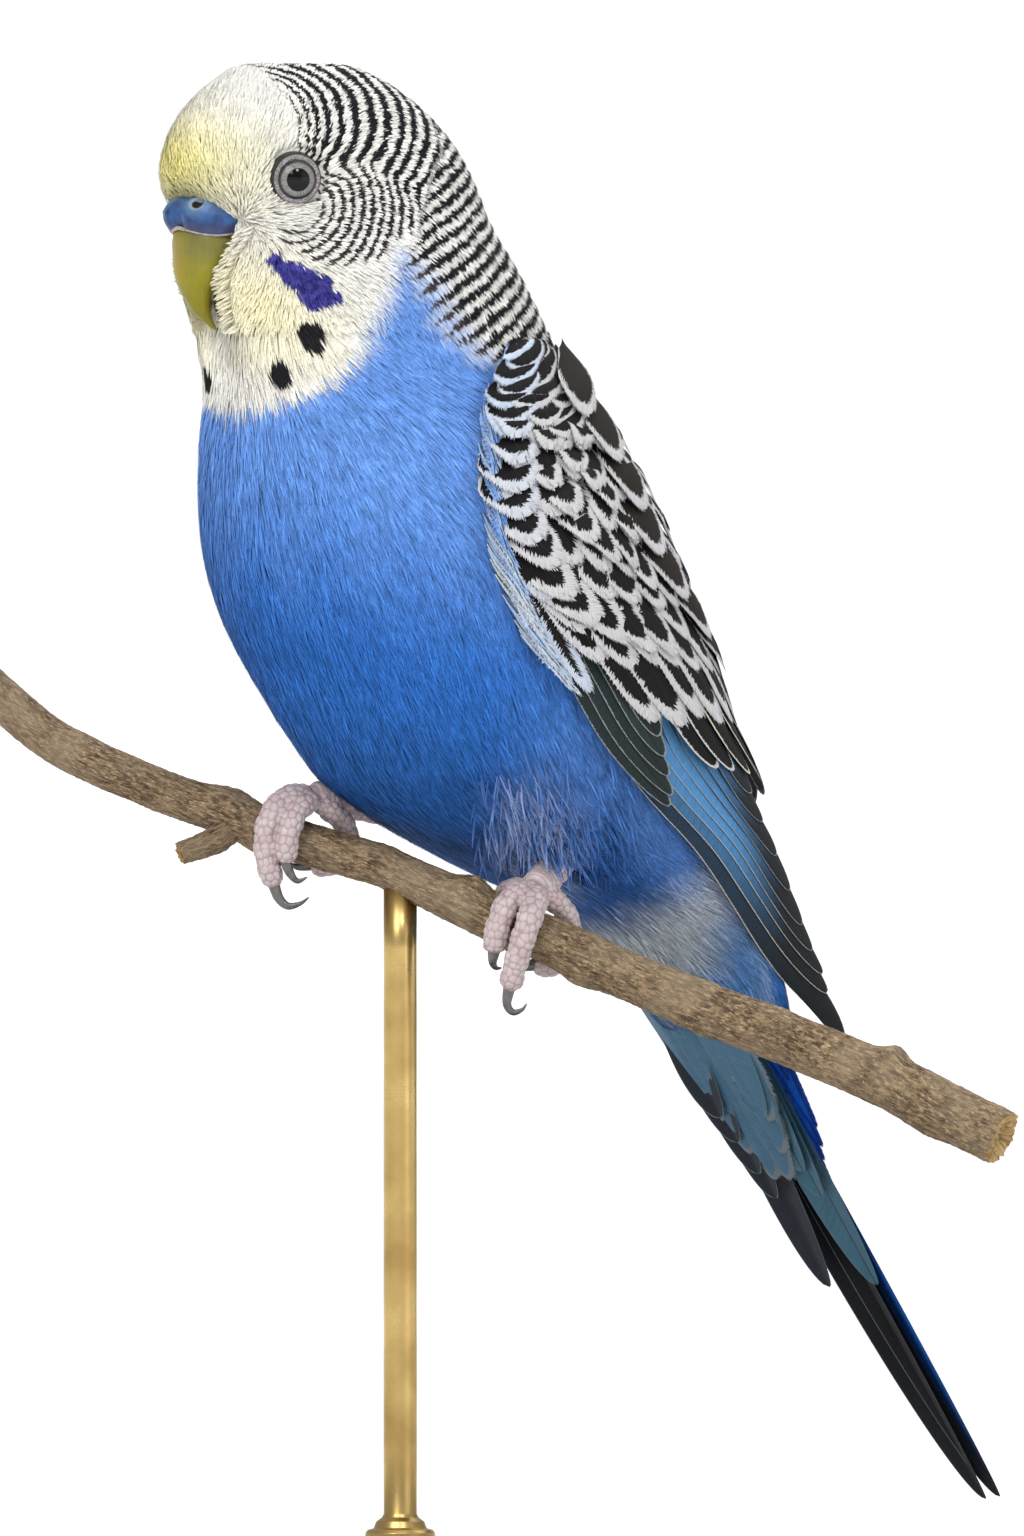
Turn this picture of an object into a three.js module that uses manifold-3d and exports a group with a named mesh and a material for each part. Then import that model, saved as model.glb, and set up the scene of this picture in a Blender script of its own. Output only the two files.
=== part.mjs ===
// A life-size blue budgerigar as a still museum model. It grips a short cut length of branch, which
// a rod and a flat base hold up. Sizes are in millimetres and +Z is up. The origin is the middle of
// the base's underside. The bird's own frame has +X towards the breast, +Y to the bird's left and
// the row's +Z.
import * as THREE from "three";
import { mergeVertices } from "three/addons/utils/BufferGeometryUtils.js";
import Module from "manifold-3d";

const wasm = await Module();
wasm.setup();

// Driving sizes. GAP parts touching meshes, JOIN is how near vertices are merged, and a round end
// takes up one CAP-th of a tube's length.
const GAP = 0.3;
const JOIN = 0.04;
const CAP = 6;
const BODY_YAW = 38;
const HEAD_TURN = -8;
const BIRD_X = -6.8;
const CROWN = 183;
const BASE = { length: 112, width: 84, thick: 6, corner: 20, bevel: 1 };
const ROD_RADIUS = 2;
const EYE = { radius: 3.3, forward: 10.4, side: 11.6, z: 169.2 };
const LIDS = { radius: 3.05, tube: 0.62, out: 2.1 };

// Level slices of head and trunk, from the crown to the root of the tail: the slice's height, how
// far its centre is forward, its half depth, its half width, and how far the front is pressed in
// where the bill lies.
const TRUNK = [
  { z: 183.0, centre: 25.0, depth: 0.1, half: 0.1, press: 0 },
  { z: 182.3, centre: 24.8, depth: 6.6, half: 4.8, press: 0 },
  { z: 180.6, centre: 24.2, depth: 10.8, half: 8.2, press: 0 },
  { z: 177.6, centre: 23.5, depth: 14.8, half: 11.7, press: 0 },
  { z: 172.8, centre: 22.4, depth: 18.6, half: 14.2, press: 0 },
  { z: 168.0, centre: 21.2, depth: 20.4, half: 15.2, press: 0.03 },
  { z: 163.2, centre: 19.3, depth: 20.6, half: 15.7, press: 0.16 },
  { z: 158.4, centre: 16.7, depth: 21.6, half: 16.5, press: 0.14 },
  { z: 153.6, centre: 14.4, depth: 22.5, half: 17.0, press: 0.13 },
  { z: 148.8, centre: 12.0, depth: 23.1, half: 17.4, press: 0.04 },
  { z: 144.0, centre: 9.9, depth: 24.1, half: 18.4, press: 0 },
  { z: 137.5, centre: 8.2, depth: 25.8, half: 20.8, press: 0 },
  { z: 130.8, centre: 6.0, depth: 27.5, half: 23.0, press: 0 },
  { z: 123.6, centre: 3.7, depth: 28.4, half: 24.6, press: 0 },
  { z: 116.4, centre: 0.5, depth: 28.6, half: 25.0, press: 0 },
  { z: 109.2, centre: -3.3, depth: 27.7, half: 24.4, press: 0 },
  { z: 102.0, centre: -7.5, depth: 26.8, half: 22.6, press: 0 },
  { z: 97.2, centre: -10.6, depth: 25.8, half: 20.8, press: 0 },
  { z: 93.0, centre: -15.1, depth: 23.2, half: 18.8, press: 0 },
  { z: 89.4, centre: -19.9, depth: 20.2, half: 16.8, press: 0 },
  { z: 85.8, centre: -25.2, depth: 16.6, half: 14.6, press: 0 },
  { z: 82.2, centre: -30.6, depth: 12.8, half: 12.6, press: 0 },
  { z: 78.0, centre: -35.0, depth: 10.4, half: 10.8, press: 0 },
  { z: 73.0, centre: -38.0, depth: 9.2, half: 9.4, press: 0 },
  { z: 68.0, centre: -41.4, depth: 7.6, half: 8.2, press: 0 },
];

// The curved shell on which each folded wing's feathers lie: its level slices, and the angles round
// them of the wing's leading edge and of its inner edge beside the mantle.
const WING_CLEAR = 0.45;
const WING = [
  { z: 150.0, centre: 12.6, depth: 23.0, half: 17.4, lead: 112, inner: 140 },
  { z: 143.0, centre: 9.6, depth: 24.4, half: 18.8, lead: 92, inner: 150 },
  { z: 137.5, centre: 8.2, depth: 25.8, half: 20.8, lead: 84, inner: 155 },
  { z: 130.8, centre: 6.0, depth: 27.5, half: 23.0, lead: 78, inner: 160 },
  { z: 123.6, centre: 3.7, depth: 28.4, half: 24.6, lead: 75, inner: 164 },
  { z: 116.4, centre: 0.5, depth: 28.6, half: 25.0, lead: 75, inner: 168 },
  { z: 109.2, centre: -3.3, depth: 27.7, half: 24.4, lead: 78, inner: 172 },
  { z: 102.0, centre: -7.5, depth: 27.0, half: 22.8, lead: 83, inner: 176 },
  { z: 94.8, centre: -13.6, depth: 26.0, half: 20.0, lead: 91, inner: 178 },
  { z: 88.8, centre: -22.0, depth: 21.8, half: 17.2, lead: 94, inner: 178 },
  { z: 82.8, centre: -31.0, depth: 16.6, half: 13.8, lead: 93, inner: 178 },
  { z: 76.8, centre: -40.0, depth: 11.6, half: 9.8, lead: 92, inner: 178 },
  { z: 70.8, centre: -50.0, depth: 6.0, half: 5.5, lead: 90, inner: 178 },
  { z: 65.0, centre: -58.0, depth: 1.8, half: 2.2, lead: 88, inner: 178 },
];

// Small helpers
const rad = THREE.MathUtils.degToRad;
const mix = THREE.MathUtils.lerp;
const vec = (x, y, z) => new THREE.Vector3(x, y, z);
const bump = (x, middle, spread) => Math.exp(-(((x - middle) / spread) ** 2));

// Reads a table of level slices at any height, with smooth cubic steps between its rows.
function sliceAt(table, z) {
  const last = table.length - 1;
  let i = 0;
  while (i < last - 1 && table[i + 1].z > z) i++;
  const rows = [table[Math.max(i - 1, 0)], table[i], table[i + 1], table[Math.min(i + 2, last)]];
  const step = rows[1].z - rows[2].z;
  const t = (rows[1].z - z) / step;
  const made = {};
  for (const key of Object.keys(table[0])) {
    const slope = (a, b) => ((b[key] - a[key]) / (a.z - b.z || 1)) * step;
    const steep = slope(rows[1], rows[2]);
    const start = i === 0 ? steep : (slope(rows[0], rows[1]) + steep) / 2;
    const end = i === last - 1 ? steep : (steep + slope(rows[2], rows[3])) / 2;
    const a = rows[1][key];
    const b = rows[2][key];
    made[key] =
      a * (2 * t ** 3 - 3 * t ** 2 + 1) +
      start * (t ** 3 - 2 * t ** 2 + t) +
      b * (3 * t ** 2 - 2 * t ** 3) +
      end * (t ** 3 - t ** 2);
  }
  return made;
}

// Moves every vertex of a stock geometry to place(u, v), where u and v are its texture coordinates.
function moved(geometry, place) {
  const at = geometry.getAttribute("position");
  const uv = geometry.getAttribute("uv");
  for (let i = 0; i < at.count; i++) {
    const p = place(uv.getX(i), uv.getY(i));
    at.setXYZ(i, p.x, p.y, p.z);
  }
  return geometry;
}

// A thin plate, triangulated alike on both faces. place(across, along, side) is given across from
// -1 to 1, along from 0 to 1, and side 1 on the outer face or -1 on the inner one.
function plate(wide, long, place) {
  const grid = new THREE.PlaneGeometry(1, 1, wide, long);
  const uv = grid.getAttribute("uv");
  const index = Array.from(grid.index.array);
  const corners = [];
  for (const side of [1, -1]) {
    for (let i = 0; i < uv.count; i++) {
      corners.push(...place(uv.getX(i) * 2 - 1, 1 - uv.getY(i), side).toArray());
    }
  }
  const faces = [...index];
  const edges = new Set();
  for (let i = 0; i < index.length; i += 3) {
    const [a, b, c] = index.slice(i, i + 3);
    faces.push(a + uv.count, c + uv.count, b + uv.count);
    for (const [p, q] of [[a, b], [b, c], [c, a]]) edges.add(p + "_" + q);
  }
  for (const edge of edges) {
    const [p, q] = edge.split("_").map(Number);
    if (edges.has(q + "_" + p)) continue;
    faces.push(q, p, p + uv.count, q, p + uv.count, q + uv.count);
  }
  return new THREE.BufferGeometry()
    .setAttribute("position", new THREE.Float32BufferAttribute(corners, 3))
    .setIndex(faces);
}

// A closed geometry as a manifold-3d solid with its faces out.
function solid(geometry, near = 1e-4) {
  const bare = geometry.clone();
  for (const name of Object.keys(bare.attributes)) {
    if (name !== "position") bare.deleteAttribute(name);
  }
  const merged = mergeVertices(bare, near);
  const build = (triVerts) =>
    new wasm.Manifold(
      new wasm.Mesh({ numProp: 3, vertProperties: merged.attributes.position.array, triVerts }),
    );
  const index = new Uint32Array(merged.index.array);
  const made = build(index);
  if (made.volume() > 0) return made;
  for (let i = 0; i < index.length; i += 3) {
    [index[i + 1], index[i + 2]] = [index[i + 2], index[i + 1]];
  }
  return build(index);
}

// Fuses solids and keeps the largest closed surface.
function fused(...solids) {
  return largest(solids.reduce((sum, part) => sum.add(part)));
}

// The largest closed surface of a solid whose nearly coincident vertices have been joined.
function largest(made) {
  const joined = solid(geometryOf(made.simplify(JOIN)), 1e-3);
  return joined.decompose().reduce((a, b) => (b.volume() > a.volume() ? b : a));
}

function geometryOf(made) {
  const mesh = made.getMesh();
  const points = [];
  for (let i = 0; i < mesh.numVert; i++) {
    for (let k = 0; k < 3; k++) points.push(mesh.vertProperties[i * mesh.numProp + k]);
  }
  const geometry = new THREE.BufferGeometry()
    .setAttribute("position", new THREE.Float32BufferAttribute(points, 3))
    .setIndex(Array.from(mesh.triVerts));
  geometry.computeVertexNormals();
  return geometry;
}

// A tube along a curve, of radius(t, angle, point), with round or flat ends. Angle 0 faces the way
// given.
function tube(curve, radius, around, along, { flat = false, way = vec(0, 0, 1) } = {}) {
  return moved(new THREE.SphereGeometry(1, around, along), (u, v) => {
    const row = Math.round((1 - v) * along);
    const even = THREE.MathUtils.clamp((row - 1) / (along - 2), 0, 1);
    const t = flat ? even : (1 - Math.cos((Math.PI * row) / along)) / 2;
    const nose = Math.min(1, Math.min(t, 1 - t) * CAP);
    const cap = flat ? Number(row > 0 && row < along) : Math.sqrt(nose * (2 - nose));
    const point = curve.getPointAt(t);
    const tangent = curve.getTangentAt(t);
    const side = tangent.clone().cross(way).normalize();
    const face = side.clone().cross(tangent);
    const angle = u * 2 * Math.PI;
    const r = radius(t, angle, point) * cap;
    return point.addScaledVector(face, Math.cos(angle) * r).addScaledVector(side, Math.sin(angle) * r);
  });
}

const spline = (points) => new THREE.CatmullRomCurve3(points);

// The head turns on the neck: the slices above the shoulders turn with it.
function headTurn(z) {
  return rad(HEAD_TURN) * THREE.MathUtils.smoothstep(z, 140, 163);
}

// How far round the front the bill presses the face in: narrow beside the hook, wide beside the cere.
function pressSpread(z) {
  return mix(0.22, 0.62, THREE.MathUtils.smoothstep(z, 158, 163));
}

// A point on the head and trunk at a height and an angle round it, moved out by grow.
function trunkPoint(z, angle, grow = 0) {
  const s = sliceAt(TRUNK, z);
  const turn = headTurn(z);
  const near = Math.atan2(Math.sin(angle), Math.cos(angle));
  const press = s.press * bump(near, 0, pressSpread(z));
  const forward = (s.depth + grow) * Math.cos(angle) * (1 - press);
  const side = (s.half + grow) * Math.sin(angle) * (1 - 0.2 * press);
  return vec(
    s.centre + forward * Math.cos(turn) - side * Math.sin(turn),
    forward * Math.sin(turn) + side * Math.cos(turn),
    z,
  );
}

function trunkGeometry(grow, around, along) {
  const foot = TRUNK[TRUNK.length - 1].z - grow;
  return moved(new THREE.SphereGeometry(1, around, along), (u, v) => {
    const row = Math.round((1 - v) * along);
    const share = Math.min(row / (along - 1), 1);
    const z = mix(CROWN + grow, foot, share ** 1.5);
    if (row === 0 || row === along) return vec(sliceAt(TRUNK, z).centre, 0, z);
    return trunkPoint(z, u * 2 * Math.PI, grow);
  });
}

// Head frame: turned with the head about the upright line through its centre.
const HEAD_CENTRE = 20.4;
function headPoint(forward, side, z) {
  const turn = rad(HEAD_TURN);
  return vec(
    HEAD_CENTRE + forward * Math.cos(turn) - side * Math.sin(turn),
    forward * Math.sin(turn) + side * Math.cos(turn),
    z,
  );
}

// A small body in the head frame made of level slices, closed at top and bottom.
function headBody(table, around, along, grow = 0, groove = 0) {
  const top = table[0].z;
  const foot = table[table.length - 1].z;
  return moved(new THREE.SphereGeometry(1, around, along), (u, v) => {
    const z = mix(top, foot, 1 - v);
    const s = sliceAt(table, z);
    const angle = u * 2 * Math.PI;
    const near = Math.atan2(Math.sin(angle), Math.cos(angle));
    const pole = v === 0 || v === 1;
    const depth = pole ? 0 : s.depth + grow;
    const half = pole ? 0 : s.half + grow;
    const dent = 1 - groove * bump(near, 0, 0.3);
    const rise = grow * (1 - 2 * (1 - v));
    return headPoint(s.centre + depth * Math.cos(angle) * dent, half * Math.sin(angle), z + rise);
  });
}

// The cere is blue and two-lobed. The upper bill hooks down in front of the throat over the small
// lower one.
const CERE = [
  { z: 167.6, centre: 15.4, depth: 1.2, half: 2.8 },
  { z: 166.8, centre: 15.2, depth: 4.0, half: 5.4 },
  { z: 165.4, centre: 15.0, depth: 5.5, half: 6.6 },
  { z: 164.2, centre: 14.8, depth: 5.7, half: 6.9 },
  { z: 163.2, centre: 14.7, depth: 5.3, half: 6.3 },
  { z: 162.4, centre: 14.6, depth: 4.9, half: 5.6 },
  { z: 162.0, centre: 14.6, depth: 4.2, half: 4.9 },
];
const UPPER_BILL = [
  { z: 163.4, centre: 14.6, depth: 4.0, half: 4.4 },
  { z: 162.0, centre: 15.1, depth: 4.6, half: 5.0 },
  { z: 160.2, centre: 15.8, depth: 3.95, half: 4.5 },
  { z: 157.3, centre: 16.9, depth: 2.6, half: 3.4 },
  { z: 155.2, centre: 17.15, depth: 1.65, half: 2.1 },
  { z: 154.0, centre: 16.8, depth: 1.3, half: 1.5 },
  { z: 152.8, centre: 16.2, depth: 0.95, half: 0.95 },
  { z: 151.9, centre: 15.35, depth: 0.55, half: 0.5 },
  { z: 151.1, centre: 14.6, depth: 0.3, half: 0.3 },
];
const LOWER_BILL = [
  { z: 157.6, centre: 11.6, depth: 1.7, half: 2.2 },
  { z: 155.6, centre: 12.4, depth: 2.0, half: 2.2 },
  { z: 153.8, centre: 13.0, depth: 1.5, half: 1.6 },
  { z: 152.6, centre: 13.2, depth: 0.8, half: 0.9 },
];
const GROOVE = 0.14;
const NOSTRIL = { radius: 0.62, forward: 18.9, side: 3.4, z: 166.2 };

// The cere with its nostrils, both parts of the bill, and the room that the head leaves for them
function billSolids() {
  const cere = solid(headBody(CERE, 18, 10, 0, GROOVE));
  const upper = solid(headBody(UPPER_BILL, 14, 12));
  const lower = solid(headBody(LOWER_BILL, 12, 8));
  const nostrils = [1, -1].map((side) => {
    const hole = new THREE.SphereGeometry(NOSTRIL.radius, 8, 6);
    const at = headPoint(NOSTRIL.forward, side * NOSTRIL.side, NOSTRIL.z);
    return solid(hole.translate(at.x, at.y, at.z));
  });
  const roomForCere = solid(headBody(CERE, 18, 10, GAP));
  const roomForUpper = solid(headBody(UPPER_BILL, 14, 12, GAP));
  const madeCere = largest(cere.subtract(nostrils[0]).subtract(nostrils[1]));
  const madeUpper = largest(upper.subtract(roomForCere));
  const madeLower = largest(lower.subtract(roomForUpper));
  const roomForLower = solid(headBody(LOWER_BILL, 12, 8, GAP));
  return { madeCere, madeUpper, madeLower, rooms: [roomForCere, roomForUpper, roomForLower] };
}

function eyeCentre(side) {
  return headPoint(EYE.forward, side * EYE.side, EYE.z);
}

function eyeOut(side) {
  const outside = headPoint(EYE.forward + 0.36, side * (EYE.side + 1), EYE.z + 0.05);
  return outside.sub(eyeCentre(side)).normalize();
}

function ball(centre, radius, around, along) {
  return new THREE.SphereGeometry(radius, around, along).translate(centre.x, centre.y, centre.z);
}

// The bare ring of lids stands a little proud round each eye, which shows between them.
function lidRing(side) {
  const out = eyeOut(side);
  const ring = new THREE.TorusGeometry(LIDS.radius, LIDS.tube, 5, 14);
  ring.applyQuaternion(new THREE.Quaternion().setFromUnitVectors(vec(0, 0, 1), out));
  const at = eyeCentre(side).addScaledVector(out, LIDS.out);
  return solid(ring.translate(at.x, at.y, at.z));
}

// Head, neck, torso and rump are one form parted by thin cuts.
const CUTS = {
  chin: { at: vec(10, 0, 145.5), lean: -3 },
  shoulders: { at: vec(8, 0, 134), lean: 6 },
  belly: { at: vec(-24, 0, 88), lean: -18 },
  tailRoot: { at: vec(-37, 0, 75), lean: -34 },
};

function planeOf(cut) {
  const lean = rad(cut.lean);
  const normal = vec(-Math.sin(lean), 0, Math.cos(lean));
  return { normal, offset: normal.dot(cut.at) };
}

function above(made, cut) {
  const { normal, offset } = planeOf(cut);
  return made.trimByPlane(normal.toArray(), offset + GAP / 2);
}

function below(made, cut) {
  const { normal, offset } = planeOf(cut);
  return made.trimByPlane(normal.clone().negate().toArray(), -(offset - GAP / 2));
}

// A point over the wing's shell: share runs from the leading edge, 0, to the inner edge, 1.
function shellPoint(z, share) {
  const s = sliceAt(WING, z);
  const angle = rad(mix(s.lead, s.inner, share));
  const clear = WING_CLEAR;
  return vec(s.centre + (s.depth + clear) * Math.cos(angle), (s.half + clear) * Math.sin(angle), z);
}

function shellFrame(z, share) {
  const step = 0.4;
  const at = shellPoint(z, share);
  const down = shellPoint(z - step, share).sub(shellPoint(z + step, share)).divideScalar(2 * step);
  const back = shellPoint(z, share + 0.02).sub(shellPoint(z, share - 0.02)).divideScalar(0.04);
  const out = down.clone().cross(back).normalize();
  return { at, down, back, out };
}

// Width of a feather along its length: a narrow root, full vanes, and a rounded or pointed tip.
function featherWidth(t, point) {
  const root = THREE.MathUtils.smoothstep(t, -0.15, 0.3);
  const tip = Math.sqrt(Math.max(0, 1 - Math.max(0, (t - point) / (1 - point)) ** 2));
  return root * Math.max(tip, 0.14);
}

// A place on either face of a plate on the wing's shell. The inner face lies within the core, so
// that neighbours fuse without hollows.
const INNER = 0.25;
function onShell(z, share, side, lift) {
  const here = shellFrame(z, THREE.MathUtils.clamp(share, -0.1, 1.06));
  return here.at.addScaledVector(here.out, side > 0 ? lift : INNER);
}

// One flight feather, which runs down the shell at a distance from the wing's leading edge. A
// primary stays off the inner part of the narrow wing tip. Each feather tilts and arches a little
// across its width.
const ROOT_LIFT = 0.8;
const FEATHER_POINT = 0.6;
const TILT = 0.12;
const ARCH = 0.1;
const INNERMOST = { primary: 0.62, tertial: 0.95 };
function flightFeather({ top, tip, aside, width, lift, long }, kind) {
  return plate(2, long, (across, t, side) => {
    const z = mix(top, tip, t);
    const arc = shellFrame(z, 0.3).back.length();
    const middle = Math.min(aside / arc, INNERMOST[kind]);
    const reach = (across * width * featherWidth(t, FEATHER_POINT)) / 2 / arc;
    const rise = mix(ROOT_LIFT, lift, THREE.MathUtils.smoothstep(t, 0, 0.3));
    return onShell(z, middle + reach, side, rise - TILT * across - ARCH * across * across);
  });
}

// One row of coverts as a sheet whose lower edge is scalloped into round tips.
const COVERT_ROOT_LIFT = 0.9;
function covertRow({ top, foot, shares, tips, round, lift }) {
  return plate(tips * 4, 3, (across, t, side) => {
    const k = (across + 1) / 2;
    const inTip = (k * tips) % 1;
    const scallop = k < 1 ? Math.sin(Math.PI * inTip) : 0;
    const low = mix(foot[0], foot[1], k) - round * (scallop ** 0.6 - 0.6);
    return onShell(mix(top, low, t), mix(...shares, k), side, mix(COVERT_ROOT_LIFT, lift, t ** 0.7));
  });
}

const FLIGHT_TIPS = [65.6, 71.7, 73.9, 76.7, 79.8, 83.8, 87.9, 91.8];
const INNER_TIPS = [94, 92.6, 91.2, 90.6, 91.4];
const COVERTS = {
  primary: { top: 108, foot: [97.4, 100], shares: [0.03, 0.4], tips: 4, round: 2, lift: 1.7 },
  greater: { top: 120, foot: [105.6, 104], shares: [0.05, 0.97], tips: 7, round: 2, lift: 2.6 },
  median: { top: 130, foot: [117, 112], shares: [0.05, 0.96], tips: 6, round: 2.2, lift: 2.5 },
  lesser: { top: 138, foot: [127, 122], shares: [0.04, 0.95], tips: 6, round: 2, lift: 2.4 },
  shoulder: { top: 146, foot: [135, 131], shares: [0.02, 0.92], tips: 5, round: 2, lift: 2.3 },
  scapular: { top: 140, foot: [120, 108], shares: [0.62, 1], tips: 3, round: 3, lift: 3.1 },
};

// The closed inner part of the wing, from the shoulder to the roots of the flight feathers.
function wingCore() {
  return plate(9, 10, (across, t, side) => {
    const share = mix(0.04, 0.97, (across + 1) / 2);
    const { at, out } = shellFrame(mix(149, 98, t), share);
    const edge = Math.min(1, 4 * t, 8 * (1 - Math.abs(across)));
    return at.addScaledVector(out, side > 0 ? mix(0.6, 1.2, edge) : 0.05);
  });
}

function leftWing() {
  const parts = [wingCore()];
  FLIGHT_TIPS.forEach((tip, k) => {
    const sizes = { top: 103.5, tip, aside: 2.7 + 2.25 * k, width: 6, lift: 0.85 + 0.23 * k, long: 7 };
    parts.push(flightFeather(sizes, "primary"));
  });
  INNER_TIPS.forEach((tip, k) => {
    const sizes = { top: 107, tip, aside: 20 + 2.6 * k, width: 7, lift: 2.75 + 0.1 * k, long: 4 };
    parts.push(flightFeather(sizes, "tertial"));
  });
  for (const row of Object.values(COVERTS)) parts.push(covertRow(row));
  return fused(...parts.map((part) => solid(part)));
}

// Tail frame: along the tail from its root, across to the left, and up to its back.
const TAIL = { root: vec(-35, 0, 75), lean: 36.3 };
function tailPoint(along, across, up) {
  const lean = rad(TAIL.lean);
  return vec(
    TAIL.root.x - along * Math.sin(lean) - up * Math.cos(lean),
    across,
    TAIL.root.z - along * Math.cos(lean) + up * Math.sin(lean),
  );
}

const TAIL_THICK = 0.6;
function tailFeather({ from, to, width, droop, point = 0.5, long }) {
  return plate(2, long, (across, t, side) => {
    const reach = (width * featherWidth(t, point)) / 2;
    const middle = from.clone().lerp(to, t);
    const up = middle.z - Math.abs(across) * reach * Math.sin(rad(droop));
    const left = middle.y + across * reach * Math.cos(rad(droop));
    return tailPoint(middle.x, left, up + (side * TAIL_THICK) / 2);
  });
}

// Six pairs of tail feathers, the middle pair by far the longest, and coverts over and under their
// roots.
const TAIL_LENGTHS = [80, 46.6, 41, 36, 31, 27];
const TAIL_TIPS = [1.1, 4.4, 4.2, 4.1, 4, 3.9];

function tailVanes() {
  const parts = [];
  for (const side of [1, -1]) {
    TAIL_LENGTHS.forEach((length, i) => {
      const low = i === 0 ? 0 : -1.7 - i * 0.42;
      parts.push(
        tailFeather({
          from: vec(1, side * (1.4 + i * 0.6), 1.6 - i * 0.55 + side * 0.1),
          to: vec(length, side * TAIL_TIPS[i], low + side * 0.25),
          width: i === 0 ? 7.6 : 7,
          droop: i === 0 ? 24 : 14,
          point: i === 0 ? 0.42 : 0.55,
          long: i === 0 ? 8 : 4,
        }),
      );
    });
    for (const [reach, across] of [[28, 1.8], [20, 4.6]]) {
      parts.push(
        tailFeather({
          from: vec(1, side * across * 1.1, -4.4 + side * 0.1),
          to: vec(reach, side * across, -4.4 + side * 0.15),
          width: 7.4,
          droop: -16,
          long: 4,
        }),
      );
      parts.push(
        tailFeather({
          from: vec(4, side * across * 1.1, 5 + side * 0.1),
          to: vec(reach + 2, side * across * 0.8, 2.3 + side * 0.15),
          width: 7,
          droop: 26,
          long: 4,
        }),
      );
    }
  }
  return parts.map((part) => solid(part));
}

// Legs: the feathered thigh, the bare shank, and a foot with two toes in front of the perch and two
// behind it.
const RIGHT = -1;
const LEFT = 1;
const SIDE_NAME = { [RIGHT]: "right", [LEFT]: "left" };

// The branch: rows of its middle line give x, z and the radius there. In plan it runs straight, and
// its right end is nearer the front.
const PERCH_TURN = 22;
const PERCH_MIDDLE = { x: -12.8, y: -4.7 };
const PERCH_LINE = [
  [-66.5, 111.6, 2.45], [-55, 101.9, 2.5], [-45.4, 97.3, 2.5], [-33.8, 92.9, 2.5], [-26.6, 90.2, 2.5],
  [-16.4, 87.2, 2.5], [-13.4, 85.9, 2.5], [-2, 80.6, 2.7], [5, 77.8, 2.75], [13, 74.2, 2.85],
  [22.6, 70.2, 3.0], [34.6, 65.6, 3.1], [46.6, 60.4, 3.25], [58.6, 54.4, 3.3],
];
const perchY = (x) => PERCH_MIDDLE.y - (x - PERCH_MIDDLE.x) * Math.tan(rad(PERCH_TURN));

// Swellings of the bark: x, angle round the branch from its upper side, height, and spread along it.
const KNOTS = [
  [-34.5, -0.6, 1.0, 2.6], [-29.5, 3.1, 0.6, 2], [-5.4, 0.2, 1.25, 2], [9, 3.1, 0.75, 2.4],
  [44.6, 0.1, 1.2, 1.3], [24, 2.6, 0.35, 3], [51, 3.1, 0.5, 2.6],
];

function perchSolid(grow = 0) {
  const line = spline(PERCH_LINE.map(([x, z]) => vec(x, perchY(x), z)));
  const girth = (x) => {
    const i = THREE.MathUtils.clamp(PERCH_LINE.findIndex((row) => row[0] > x), 1, PERCH_LINE.length - 1);
    const [near, far] = [PERCH_LINE[i - 1], PERCH_LINE[i]];
    return mix(near[2], far[2], THREE.MathUtils.clamp((x - near[0]) / (far[0] - near[0]), 0, 1));
  };
  const bark = (t, angle, { x }) =>
    girth(x) +
    grow +
    0.05 * Math.sin(3 * angle + x / 3) +
    KNOTS.reduce((sum, [at, way, high, spread]) => {
      const near = Math.atan2(Math.sin(angle - way), Math.cos(angle - way));
      return sum + high * bump(x, at, spread) * bump(near, 0, 0.8);
    }, 0);
  const main = solid(tube(line, bark, 10, 42, { flat: true }));
  const start = vec(-33.4, perchY(-33.4), 91.8);
  const bend = start.clone().add(vec(-2.4, -1.8, -1.9));
  const stub = spline([start, bend, start.clone().add(vec(-6.4, -3, -3.4))]);
  return fused(main, solid(tube(stub, (t) => mix(1.7, 1.3, t) + grow, 9, 6, { flat: true })));
}

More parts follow.
